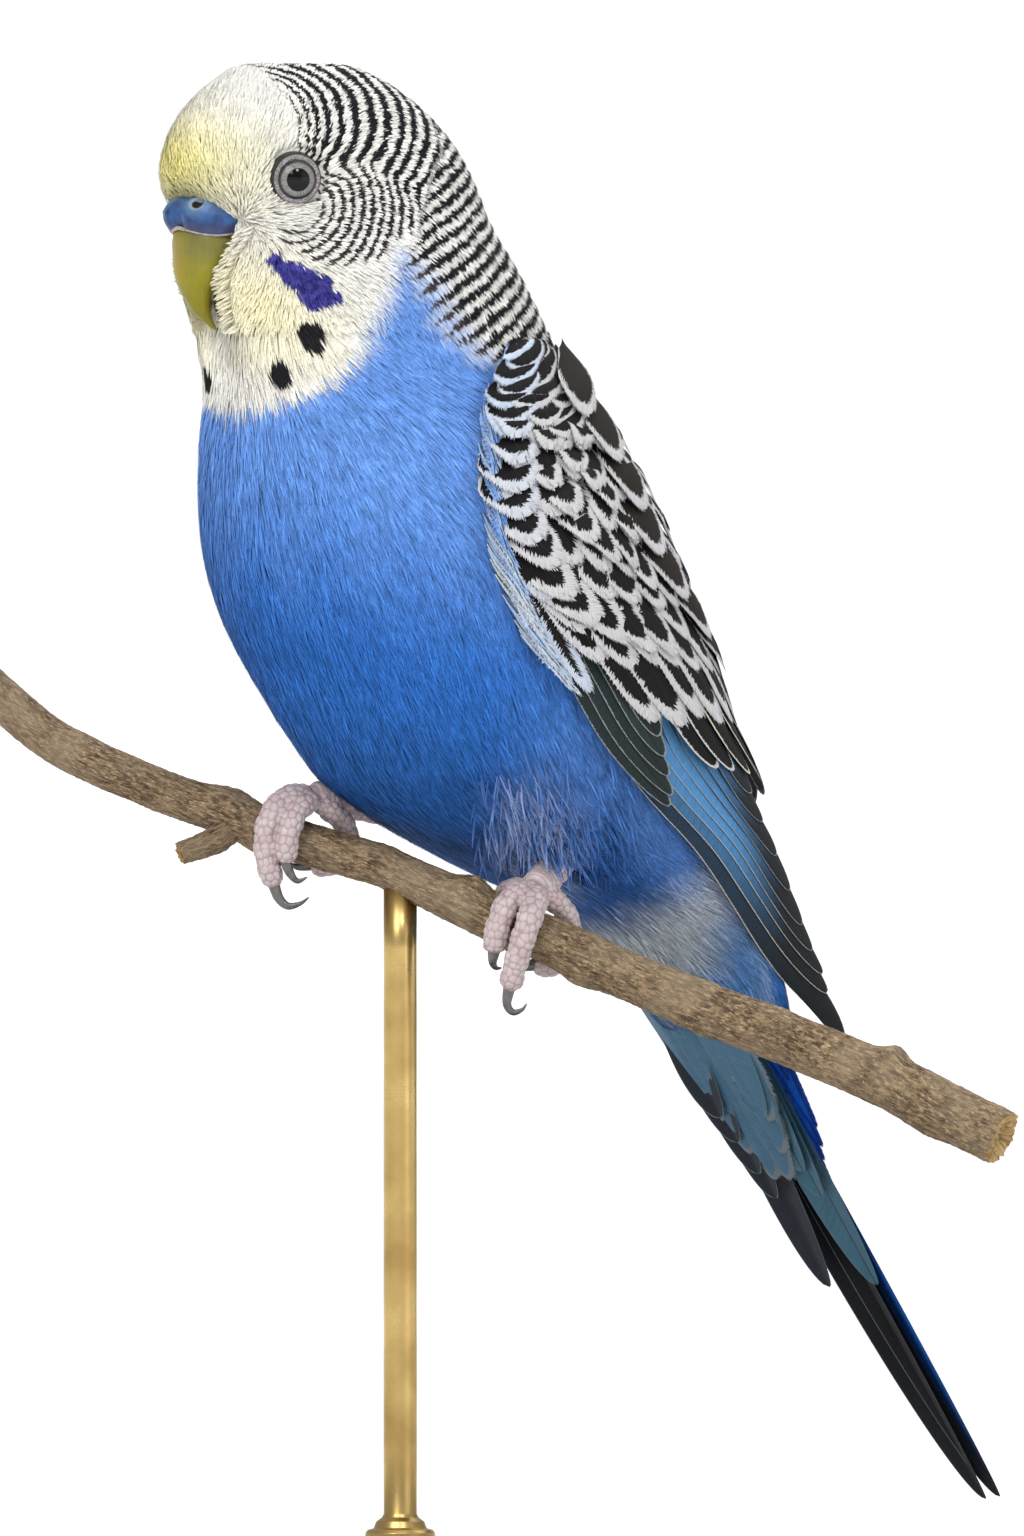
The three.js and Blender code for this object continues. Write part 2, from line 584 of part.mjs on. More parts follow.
// Paths are [x, front of the branch's middle, z] in the row's frame, with radii at root and tip.
// Each toe's claw starts where the toe ends.
const TOES = {
  [RIGHT]: {
    outer_front: {
      toe: [
        [-23.9, 0.2, 95.6], [-27.3, 2.6, 94.9], [-29, 4.0, 92.7], [-29.6, 4.1, 90],
        [-29.3, 3.6, 87.4], [-28.5, 2.6, 84.8],
      ],
      claw: [
        [-28.4, 2.4, 84.2], [-28.0, 2.2, 83.1], [-26.9, 2.1, 82.1], [-25.4, 1.9, 82.4],
        [-24.3, 1.8, 83.2],
      ],
      radius: [1.5, 1.4],
    },
    inner_front: {
      toe: [
        [-23.4, 0.4, 95.2], [-25.7, 3.1, 93.7], [-26.6, 4.2, 91.5], [-27, 4.2, 89.6],
        [-27.1, 3.8, 87.7],
      ],
      claw: [[-27, 3.6, 87.1], [-26.6, 3.4, 86], [-25.7, 3.1, 85.1], [-24.5, 2.9, 85.6]],
      radius: [1.45, 1.4],
    },
    outer_back: {
      toe: [
        [-23.6, 0.2, 94.9], [-21.6, -1.8, 93.4], [-20.2, -3.6, 92], [-19.5, -4.5, 89.8],
        [-20.4, -4.4, 87.6], [-22.2, -3.7, 86.8], [-24, -3.2, 87.1],
      ],
      claw: [[-24.5, -2.8, 87], [-25.5, -2.2, 86.8], [-26.3, -1.6, 87], [-26.9, -1.1, 87.4]],
      radius: [1.4, 1.15],
    },
    inner_back: {
      toe: [[-24.2, 0, 95.2], [-25.8, -2.6, 94.6], [-26.6, -4.3, 92.8], [-26.7, -4.5, 91]],
      claw: [[-26.7, -4.4, 90.4], [-26.7, -4.2, 89.6], [-26.6, -3.8, 88.8], [-26.5, -3.2, 88.3]],
      radius: [1.4, 1.2],
    },
  },
  [LEFT]: {
    outer_front: {
      toe: [[3, 0.4, 83.9], [2.4, 3.8, 81.5], [1.4, 4.7, 78.4], [0.5, 4.4, 75.4], [-0.25, 3.7, 72.4]],
      claw: [[-0.4, 3.6, 71.8], [-0.6, 3.5, 70.4], [0.1, 3.3, 69.4], [1.2, 3.1, 69.7], [1.8, 3, 70.5]],
      radius: [1.65, 1.4],
    },
    inner_front: {
      toe: [
        [2.2, 0.2, 84.4], [-0.4, 3.6, 82.6], [-1.5, 4.6, 80.2], [-1.95, 4.6, 78.4],
        [-2.05, 4.4, 76.9],
      ],
      claw: [[-2.2, 4.2, 76.3], [-2.3, 3.9, 75.4], [-1.9, 3.3, 74.7], [-1.2, 2.7, 74.7]],
      radius: [1.5, 1.5],
    },
    outer_back: {
      toe: [
        [3.4, 0, 84], [5.6, -2.5, 82.3], [6.8, -4.3, 80.4], [7.1, -4.9, 78], [6.1, -4.6, 75.6],
        [4.4, -3.9, 74.8], [2.7, -3.2, 75.1],
      ],
      claw: [[2.2, -2.8, 75], [1.2, -2, 74.8], [0.3, -1.2, 74.9], [-0.2, -0.5, 75.3]],
      radius: [1.45, 1.15],
    },
    inner_back: {
      toe: [[2.2, 0, 84.2], [-0.3, -2.4, 84], [-1.1, -4.2, 82.2], [-1.1, -4.6, 79]],
      claw: [[-1, -4.4, 78.4], [-0.8, -3.9, 77.5], [-0.6, -3.2, 76.9], [-0.5, -2.5, 76.6]],
      radius: [1.4, 1.2],
    },
  },
};
const PAD_COUNT = 5;
const PAD_RISE = 0.06;
const CLAW_RADII = [0.82, 0.14];

function footLine(path) {
  return spline(path.map(([x, front, z]) => vec(x, perchY(x) - front / Math.cos(rad(PERCH_TURN)), z)));
}

const ALONG_PERCH = vec(0.86, -0.35, -0.37);
const ACROSS_PERCH = vec(0.36, 0.9, 0.25);

function toeSolid(toe) {
  const path = footLine(toe.toe).points;
  const clawRoot = footLine(toe.claw).points[0];
  const end = path[path.length - 1];
  end.addScaledVector(clawRoot.clone().sub(end).normalize(), clawRoot.distanceTo(end) - GAP);
  const pads = (t) => 1 + PAD_RISE * Math.cos(t * PAD_COUNT * 2 * Math.PI);
  const plump = (t) => mix(...toe.radius, t) * pads(t);
  return solid(tube(spline(path), plump, 8, 14, { way: ALONG_PERCH }));
}

function clawSolid(toe) {
  const taper = (t) => mix(...CLAW_RADII, t ** 1.3);
  return solid(tube(footLine(toe.claw), taper, 6, 8, { flat: true, way: ACROSS_PERCH }));
}

// Hip and ankle, and the joint where the toes spread.
const LEG = {
  [RIGHT]: {
    hip: vec(-12.4, 13.2, 104),
    ankle: vec(-16.2, 6.9, 93.7),
    joint: vec(-23.8, 0.1, 95.4),
    radius: 1.75,
  },
  [LEFT]: {
    hip: vec(7, -4, 102),
    ankle: vec(5.4, -6.6, 87),
    joint: vec(2.9, -10.8, 84.2),
    radius: 1.9,
  },
};
const THIGH_RADII = [8.4, 4.4];
const THIGH_OVERLAP = 1.5;
const KNEE_OUT = 0.8;
const SHANK_START = 2;
const SHANK_FLARE = 0.12;

// The shank, with the palm at its end.
function shankSolid(side, grow = 0) {
  const { ankle, joint, radius } = LEG[side];
  const way = joint.clone().sub(ankle).normalize();
  const start = ankle.clone().addScaledVector(way, -SHANK_START);
  const line = spline([start, ankle, joint.clone().addScaledVector(way, grow)]);
  const shank = solid(tube(line, (t) => radius * (1 + SHANK_FLARE * (2 * t - 1) ** 2) + grow, 9, 8));
  return shank.add(solid(ball(joint, radius * (1 + SHANK_FLARE) + grow, 10, 8)));
}

// Shank and toes are one piece, cut off level with the end of the thigh.
function legSolid(side) {
  const { ankle, joint } = LEG[side];
  const way = joint.clone().sub(ankle).normalize();
  const toes = Object.values(TOES[side]).map(toeSolid);
  return fused(shankSolid(side), ...toes).trimByPlane(way.toArray(), way.dot(ankle) + GAP / 2);
}

function thighSolid(side, grow = 0) {
  const { hip, ankle, joint } = LEG[side];
  const way = joint.clone().sub(ankle).normalize();
  const end = ankle.clone().addScaledVector(way, THIGH_OVERLAP);
  const knee = hip.clone().lerp(ankle, 0.5).addScaledVector(way, KNEE_OUT);
  const whole = solid(tube(spline([hip, knee, end]), (t) => mix(...THIGH_RADII, t) + grow, 14, 9));
  return whole.trimByPlane(way.negate().toArray(), way.dot(ankle) + GAP / 2 - grow);
}

// The stand: a rod under the branch between the feet, and a flat base with round corners.
const ROD = { x: -13.4, top: 84.5 };

function standBase() {
  const { length, width, corner, thick, bevel } = BASE;
  const outline = new THREE.Shape();
  const x = length / 2 - corner;
  const y = width / 2 - corner;
  outline.absarc(x, y, corner, 0, Math.PI / 2);
  outline.absarc(-x, y, corner, Math.PI / 2, Math.PI);
  outline.absarc(-x, -y, corner, Math.PI, 1.5 * Math.PI);
  outline.absarc(x, -y, corner, 1.5 * Math.PI, 2 * Math.PI);
  return new THREE.ExtrudeGeometry(outline, {
    depth: thick - 2 * bevel,
    bevelThickness: bevel,
    bevelSize: bevel,
    bevelOffset: -bevel,
    bevelSegments: 1,
    curveSegments: 5,
  }).translate(0, 0, bevel);
}

function standRod(roomForPerch) {
  const foot = BASE.thick + GAP;
  const rod = new THREE.CylinderGeometry(ROD_RADIUS, ROD_RADIUS, ROD.top - foot, 14);
  rod.rotateX(Math.PI / 2).translate(ROD.x, perchY(ROD.x), (ROD.top + foot) / 2);
  const cut = solid(rod).subtract(roomForPerch);
  return cut.decompose().reduce((a, b) => (b.boundingBox().min[2] < a.boundingBox().min[2] ? b : a));
}

// Materials
const finish = (color, roughness, metalness = 0) =>
  new THREE.MeshStandardMaterial({ color, roughness, metalness });
const LOOKS = {
  head: finish(0xe9e9e6, 0.85),
  blue: finish(0x3f78cc, 0.85),
  wing: finish(0x2e2c2c, 0.7),
  tail: finish(0x1d4f9c, 0.65),
  cere: finish(0x3f6fb4, 0.45),
  bill: finish(0x97953a, 0.4),
  eye: finish(0x14120f, 0.08),
  leg: finish(0xb49a9c, 0.7),
  claw: finish(0x4a4644, 0.4),
  bark: finish(0x6b5443, 0.9),
  base: finish(0x2c2622, 0.5),
  rod: finish(0xb08d4c, 0.3, 1),
};

// Assembly
const root = new THREE.Group();

function add(name, shape, look) {
  const mesh = new THREE.Mesh(geometryOf(shape), look);
  mesh.name = name;
  root.add(mesh);
}

// A solid made in the bird's frame, moved to the row's.
function placed(shape) {
  return shape.rotate([0, 0, 180 + BODY_YAW]).translate([BIRD_X, 0, 0]);
}

const trunk = solid(trunkGeometry(0, 30, 38));
const roomForTrunk = solid(trunkGeometry(GAP, 30, 38));
const { madeCere, madeUpper, madeLower, rooms } = billSolids();

let head = above(trunk, CUTS.chin);
for (const side of [LEFT, RIGHT]) {
  const eye = eyeCentre(side);
  head = head.add(lidRing(side)).subtract(solid(ball(eye, EYE.radius + GAP, 12, 9)));
  add("eye_" + SIDE_NAME[side], placed(solid(ball(eye, EYE.radius, 12, 9))), LOOKS.eye);
}
for (const room of rooms) head = head.subtract(room);
add("head", placed(largest(head)), LOOKS.head);
add("cere", placed(madeCere), LOOKS.cere);
add("beak_upper", placed(madeUpper), LOOKS.bill);
add("beak_lower", placed(madeLower), LOOKS.bill);

const perch = perchSolid();
const roomForPerch = perchSolid(GAP);
let hips = placed(above(below(trunk, CUTS.shoulders), CUTS.belly));
let rump = placed(above(below(trunk, CUTS.belly), CUTS.tailRoot));
for (const side of [LEFT, RIGHT]) {
  const name = SIDE_NAME[side];
  const roomForLeg = thighSolid(side, GAP).add(shankSolid(side, GAP));
  hips = hips.subtract(roomForLeg);
  rump = rump.subtract(roomForLeg);
  add("thigh_" + name, thighSolid(side), LOOKS.blue);
  add("leg_" + name, largest(legSolid(side).subtract(roomForPerch)), LOOKS.leg);
  for (const [toeName, toe] of Object.entries(TOES[side])) {
    add("claw_" + name + "_" + toeName, clawSolid(toe), LOOKS.claw);
  }
}
add("neck", placed(largest(above(below(trunk, CUTS.chin), CUTS.shoulders))), LOOKS.blue);
add("torso", largest(hips), LOOKS.blue);
add("rump", largest(rump), LOOKS.blue);

const tail = below(fused(below(trunk, CUTS.tailRoot), ...tailVanes()), CUTS.tailRoot);
add("tail", placed(largest(tail)), LOOKS.tail);

const wing = largest(leftWing().subtract(roomForTrunk).trimByPlane([0, 1, 0], GAP));
add("wing_left", placed(wing), LOOKS.wing);
add("wing_right", placed(wing.mirror([0, 1, 0])), LOOKS.wing);

add("perch", perch, LOOKS.bark);
add("stand_base", solid(standBase()), LOOKS.base);
add("stand_rod", standRod(roomForPerch), LOOKS.rod);

export default root;
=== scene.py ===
import math

import bmesh
import bpy
import numpy as np
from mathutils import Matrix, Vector, noise
from mathutils.bvhtree import BVHTree
from mathutils.kdtree import KDTree


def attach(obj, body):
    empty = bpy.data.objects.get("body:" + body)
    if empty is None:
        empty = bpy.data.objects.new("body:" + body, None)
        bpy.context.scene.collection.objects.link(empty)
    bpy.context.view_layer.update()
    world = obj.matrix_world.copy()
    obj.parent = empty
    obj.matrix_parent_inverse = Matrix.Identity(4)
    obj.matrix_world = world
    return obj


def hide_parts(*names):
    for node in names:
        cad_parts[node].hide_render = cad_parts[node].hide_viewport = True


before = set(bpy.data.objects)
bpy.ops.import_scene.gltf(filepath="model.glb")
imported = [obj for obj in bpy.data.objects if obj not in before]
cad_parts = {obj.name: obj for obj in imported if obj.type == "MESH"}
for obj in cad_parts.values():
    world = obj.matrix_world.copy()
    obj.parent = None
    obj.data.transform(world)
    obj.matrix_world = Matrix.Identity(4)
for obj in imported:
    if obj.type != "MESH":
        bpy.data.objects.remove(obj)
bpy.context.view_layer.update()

# Skin: one hide from the crown to the root of the tail, with both thighs in it, made of level slices. It lies inside
# head, neck, torso, rump and thighs by the depth of the coat. The bird's own frame has +X to the breast, +Y to the
# bird's left and +Z up, in millimetres; the row's frame is the one in which the parts are placed, in metres.
BIRD_TURN = math.radians(218)
BIRD_X = -6.8
COAT_DEPTH = 0.8
CROWN = 183.0
TAIL_END = 68.0
# height, how far forward the slice's middle is, half depth, half width, how far the front is pressed in
TRUNK = [
    (183.0, 25.0, 0.1, 0.1, 0), (182.3, 24.8, 6.6, 4.8, 0), (180.6, 24.2, 10.8, 8.2, 0), (177.6, 23.5, 14.8, 11.7, 0),
    (172.8, 22.4, 18.6, 14.2, 0), (168.0, 21.2, 20.4, 15.2, 0.03), (163.2, 19.3, 20.6, 15.7, 0.16),
    (158.4, 16.7, 21.6, 16.5, 0.14), (153.6, 14.4, 22.5, 17.0, 0.13), (148.8, 12.0, 23.1, 17.4, 0.04),
    (144.0, 9.9, 24.1, 18.4, 0), (137.5, 8.2, 25.8, 20.8, 0), (130.8, 6.0, 27.5, 23.0, 0),
    (123.6, 3.7, 28.4, 24.6, 0), (116.4, 0.5, 28.6, 25.0, 0), (109.2, -3.3, 27.7, 24.4, 0),
    (102.0, -7.5, 26.8, 22.6, 0), (97.2, -10.6, 25.8, 20.8, 0), (93.0, -15.1, 23.2, 18.8, 0),
    (89.4, -19.9, 20.2, 16.8, 0), (85.8, -25.2, 16.6, 14.6, 0), (82.2, -30.6, 12.8, 12.6, 0),
    (78.0, -35.0, 10.4, 10.8, 0), (73.0, -38.0, 9.2, 9.4, 0), (68.0, -41.4, 7.6, 8.2, 0),
]
# hip, ankle and toe joint of each leg, in millimetres in the row's frame
RIGHT_LEG = [(-12.4, 13.2, 104), (-16.2, 6.9, 93.7), (-23.8, 0.1, 95.4)]
LEFT_LEG = [(7, -4, 102), (5.4, -6.6, 87), (2.9, -10.8, 84.2)]
THIGH_RADIUS = (8.0, 3.9)
SKIN_VOXEL = 0.0006
HEAD_TURN = math.radians(-8)
# how far round the front the face is pressed in: beside the hook of the bill, and beside the cere
PRESS_SPREAD = (0.22, 0.62)


def to_row(points):
    """Millimetres in the bird's frame as metres in the row's frame."""
    points = np.asarray(points, float)
    c, s = math.cos(BIRD_TURN), math.sin(BIRD_TURN)
    x = points[..., 0] * c - points[..., 1] * s + BIRD_X
    y = points[..., 0] * s + points[..., 1] * c
    return np.stack([x, y, points[..., 2]], -1) / 1000


def to_bird(points):
    """Metres in the row's frame as millimetres in the bird's frame."""
    points = np.asarray(points, float) * 1000
    c, s = math.cos(BIRD_TURN), math.sin(BIRD_TURN)
    x = points[..., 0] - BIRD_X
    return np.stack([x * c + points[..., 1] * s, points[..., 1] * c - x * s, points[..., 2]], -1)


def smooth_rows(rows):
    """A table of level slices with smooth cubic steps between its rows, at every tenth of a millimetre."""
    rows = np.array(rows, float)[::-1]
    z, values = rows[:, 0], rows[:, 1:]
    slope = np.diff(values, axis=0) / np.diff(z)[:, None]
    tangent = np.vstack([slope[:1], (slope[1:] + slope[:-1]) / 2, slope[-1:]])
    heights = np.arange(z[0], z[-1] + 0.05, 0.1)
    i = np.clip(np.searchsorted(z, heights, "right") - 1, 0, len(z) - 2)
    step = (z[i + 1] - z[i])[:, None]
    t = ((heights - z[i]) / step[:, 0])[:, None]
    made = (2 * t**3 - 3 * t**2 + 1) * values[i] + (t**3 - 2 * t**2 + t) * step * tangent[i]
    made += (3 * t**2 - 2 * t**3) * values[i + 1] + (t**3 - t**2) * step * tangent[i + 1]
    return heights, made


def slice_at(table, z):
    return [np.interp(z, table[0], table[1][:, k]) for k in range(table[1].shape[1])]


def step_between(x, low, high):
    t = np.clip((x - low) / (high - low), 0, 1)
    return t * t * (3 - 2 * t)


def unit(vectors):
    return vectors / np.maximum(np.linalg.norm(vectors, axis=-1, keepdims=True), 1e-9)


def bird_way(vectors):
    """Directions in the row's frame as directions in the bird's frame."""
    return to_bird(np.asarray(vectors) / 1000 + to_row(np.zeros(3)))


def around_front(angle):
    """An angle as its equal between minus and plus half a turn."""
    return np.arctan2(np.sin(angle), np.cos(angle))


trunk_table = smooth_rows(TRUNK)


def pressed(z, angle, press):
    """How much the face is pressed in at a height and an angle round it."""
    spread = PRESS_SPREAD[0] + (PRESS_SPREAD[1] - PRESS_SPREAD[0]) * step_between(z, 158, 163)
    return press * np.exp(-((around_front(angle) / spread) ** 2))


def trunk_point(z, angle, grow):
    centre, depth, half, press = slice_at(trunk_table, z)
    turn = HEAD_TURN * step_between(z, 140, 163)
    press = pressed(z, angle, press)
    forward = (depth + grow) * np.cos(angle) * (1 - press)
    side = (half + grow) * np.sin(angle) * (1 - 0.2 * press)
    x = centre + forward * np.cos(turn) - side * np.sin(turn)
    return np.stack([x, forward * np.sin(turn) + side * np.cos(turn), z], -1)


def move_to(bm, points):
    for vert, point in zip(bm.verts, to_row(points)):
        vert.co = point


def wrapped(around, along, place):
    """A ball whose rings are moved to place(angle, share), in millimetres in the bird's frame."""
    bm = bmesh.new()
    bmesh.ops.create_uvsphere(bm, u_segments=around, v_segments=along, radius=1)
    ball = np.array([v.co for v in bm.verts])
    share = np.arccos(np.clip(ball[:, 2], -1, 1)) / math.pi
    angle = np.arctan2(ball[:, 1], ball[:, 0])
    move_to(bm, place(angle, share))
    bmesh.ops.recalc_face_normals(bm, faces=bm.faces)
    return bm


def catmull(points, share):
    """Points on a smooth curve through the given ones, at equal shares of its length."""
    points = np.array(points, float)
    ends = np.vstack([2 * points[0] - points[1], points, 2 * points[-1] - points[-2]])
    t = np.linspace(0, len(points) - 1 - 1e-9, 40 * len(points))
    i, f = t.astype(int), (t % 1)[:, None]
    a, b, c, d = ends[i], ends[i + 1], ends[i + 2], ends[i + 3]
    curve = 0.5 * (2 * b + (c - a) * f + (2 * a - 5 * b + 4 * c - d) * f**2 + (3 * b - a - 3 * c + d) * f**3)
    length = np.concatenate([[0], np.cumsum(np.linalg.norm(np.diff(curve, axis=0), axis=1))])
    return np.stack([np.interp(np.asarray(share) * length[-1], length, curve[:, k]) for k in range(3)], -1)


def curve_way(points, share):
    return unit(catmull(points, np.minimum(share + 0.01, 1)) - catmull(points, np.maximum(share - 0.01, 0)))


def tube(points, radius, around, along, way, cap=0.16):
    """A round-ended tube on a curve. radius(share, angle, point) gives its radius; angle 0 faces the way given."""

    def place(angle, share):
        middle = catmull(points, share)
        tangent = curve_way(points, share)
        side = unit(np.cross(tangent, np.array(way, float)))
        face = np.cross(side, tangent)
        near = np.clip(np.minimum(share, 1 - share) / cap, 0, 1)
        r = radius(share, angle, middle) * np.sqrt(near * (2 - near))
        return middle + face * (np.cos(angle) * r)[:, None] + side * (np.sin(angle) * r)[:, None]

    return wrapped(around, along, place)


def linked(name, data):
    """A new object with this mesh, light or camera."""
    made = bpy.data.objects.new(name, data)
    bpy.context.scene.collection.objects.link(made)
    return made


def new_piece(name, bm, material=None, smooth=True):
    mesh = bpy.data.meshes.new(name)
    bm.to_mesh(mesh)
    bm.free()
    mesh.polygons.foreach_set("use_smooth", [smooth] * len(mesh.polygons))
    if material:
        mesh.materials.append(material)
    return linked(name, mesh)


def bird_points(piece):
    spots = np.zeros(len(piece.data.vertices) * 3)
    piece.data.vertices.foreach_get("co", spots)
    return to_bird(spots.reshape(-1, 3))


def joined(*parts):
    """Several bmeshes as one."""
    whole = bmesh.new()
    for part in parts:
        mesh = bpy.data.meshes.new("part")
        part.to_mesh(mesh)
        part.free()
        whole.from_mesh(mesh)
        bpy.data.meshes.remove(mesh)
    return whole


def trunk_form(angle, share):
    level = np.minimum(share * 200 / 199, 1)
    z = (CROWN - COAT_DEPTH) + (TAIL_END + COAT_DEPTH - CROWN) * level**1.5
    points = trunk_point(z, angle, -COAT_DEPTH)
    points[:, 0] -= 1.3 * np.exp(-(((z - 167.0) / 1.6) ** 2) - (around_front(angle) / 0.36) ** 2)
    pole = (share < 1e-4) | (share > 1 - 1e-4)
    points[pole, 0] = slice_at(trunk_table, z[pole])[0]
    points[pole, 1] = 0
    return points


def one_hide(forms, voxel, rounds):
    """Several closed forms merged into one even mesh and smoothed."""
    rough = new_piece("rough", joined(*forms))
    even = rough.modifiers.new("even", "REMESH")
    even.mode = "VOXEL"
    even.voxel_size = voxel
    bpy.context.view_layer.update()
    evened = bpy.data.meshes.new_from_object(rough.evaluated_get(bpy.context.evaluated_depsgraph_get()))
    bpy.data.objects.remove(rough)
    bm = bmesh.new()
    bm.from_mesh(evened)
    for _ in range(rounds):
        bmesh.ops.smooth_vert(bm, verts=bm.verts, factor=0.5, use_axis_x=True, use_axis_y=True, use_axis_z=True)
    return bm


forms = [wrapped(120, 200, trunk_form)]
for leg in (RIGHT_LEG, LEFT_LEG):
    hip, ankle, joint = to_bird(np.array(leg) / 1000)
    way = unit(joint - ankle)
    knee = (hip + ankle) / 2 + way * 0.8
    thick = lambda t, angle, point: THIGH_RADIUS[0] + (THIGH_RADIUS[1] - THIGH_RADIUS[0]) * t
    forms.append(tube([hip, knee, ankle - way * 0.6], thick, 40, 30, (0, 0, 1)))
bm = one_hide(forms, SKIN_VOXEL, 6)
bmesh.ops.triangulate(bm, faces=bm.faces)
skin = new_piece("skin", bm)

# Plumage markings, the same on skin and coat: white forehead and bib with yellow round the bill, black bars round
# the crown, cheek and nape, a violet patch on each cheek, round black throat spots, and a blue body that fades to
# grey at the vent; its blue darkens from breast to belly, partly its own tone and partly painted shade. They are
# worked out from each point's place on the bird.
WHITE = (0.72, 0.71, 0.68)
YELLOW = (0.76, 0.70, 0.27)
CREAM = (0.74, 0.69, 0.46)
BREAST_BLUE = (0.118, 0.265, 0.64)
BELLY_BLUE = (0.024, 0.128, 0.45)
LOW_BLUE_AND_SHADE = (0.015, 0.080, 0.28)
VENT_GREY = (0.42, 0.46, 0.49)
WISP_LILAC = (0.34, 0.42, 0.66)
TAIL_ROOT_BLUE = (0.045, 0.14, 0.34)
RUMP_BLUE = (0.018, 0.10, 0.33)
VIOLET = (0.016, 0.016, 0.12)
VIOLET_EDGE = (0.075, 0.070, 0.36)
INK = (0.012, 0.012, 0.014)
BIB_EDGE = [(0, 142.8), (26, 143.4), (43, 146.4), (63, 151.2), (77.5, 156.0), (86, 159.6), (95, 162)]
NAPE_EDGE = [(139, 84), (143, 93), (146.6, 105), (148, 92), (151, 88.5), (160, 86), (163, 84)]
# middle of the crown's bars, with how strongly each step away from it counts
CROWN_MIDDLE = ((29.5, 0.0, 172.7), (0.0358, 0.0427, 0.0739))
CHEEK_MIDDLE = (31.3, 13.0, 165.9)
# where that count has a dark bar
CROWN_BARS = (5.8, 6.2, 6.56, 6.9, 7.4, 8.12, 8.97, 10.08, 11.26, 12.61, 13.9, 15.56, 17.3, 19.1, 21.0, 23.0)
# how far forward, lowest height of the cheek's bars; then the height above which the crown's bars lie
CHEEK_FOOT = [
    (18, 162.5), (20, 160.3), (21.5, 158.8), (26, 158.2), (29.5, 159.2), (31.5, 160.7), (33.5, 162), (36, 165),
]
CROWN_FOOT = [(12, 167), (16, 168), (19, 170), (22.5, 171.8), (29, 170.8), (33, 170.5)]
# throat spots as angle round the front and height, and radius; then the cheek patch's middle, root and tip
SPOTS = [((42.8, 150.1), 1.75), ((25.3, 145.7), 1.45), ((-17, 145.3), 1.45), ((-42.8, 150.1), 1.75)]
CHEEK_PATCH = ((47.2, 157.5), (41.2, 159.5), (53.6, 155.4))
# ahead of the line that the head turns about, to the side, height
EYE = (10.4, 11.6, 169.2)
HEAD_MIDDLE = 20.4


def body_angles(points):
    """Angle round the body from the front, in degrees either way, and the points with the head's turn taken out."""
    centre, depth, half, press = slice_at(trunk_table, points[:, 2])
    turn = HEAD_TURN * step_between(points[:, 2], 140, 163)
    forward = (points[:, 0] - centre) * np.cos(turn) + points[:, 1] * np.sin(turn)
    side = points[:, 1] * np.cos(turn) - (points[:, 0] - centre) * np.sin(turn)
    angle = np.degrees(np.arctan2(np.abs(side) / half, forward / depth))
    return angle, np.stack([centre + forward, np.abs(side), points[:, 2]], -1), side


def on_trunk(angle, z):
    """The unturned place of an angle in degrees and a height."""
    centre, depth, half, press = (float(v) for v in slice_at(trunk_table, z))
    a = math.radians(angle)
    press = float(pressed(z, a, press))
    return np.array([centre + depth * math.cos(a) * (1 - press), half * math.sin(a) * (1 - 0.2 * press), z])


def ripple(points, size, seed):
    """A gentle wavy noise from about -1 to 1, with lumps of the given size in millimetres."""
    draw = np.random.default_rng(seed)
    total = np.zeros(len(points))
    for _ in range(6):
        wave = unit(draw.normal(size=3)) * draw.uniform(0.7, 1.6) * 2 * math.pi / (size * 2.2)
        total += np.sin(points @ wave + draw.uniform(0, 6.3))
    return total / 3


def blend(a, b, share):
    return np.asarray(a) * (1 - share[:, None]) + np.asarray(b) * share[:, None]


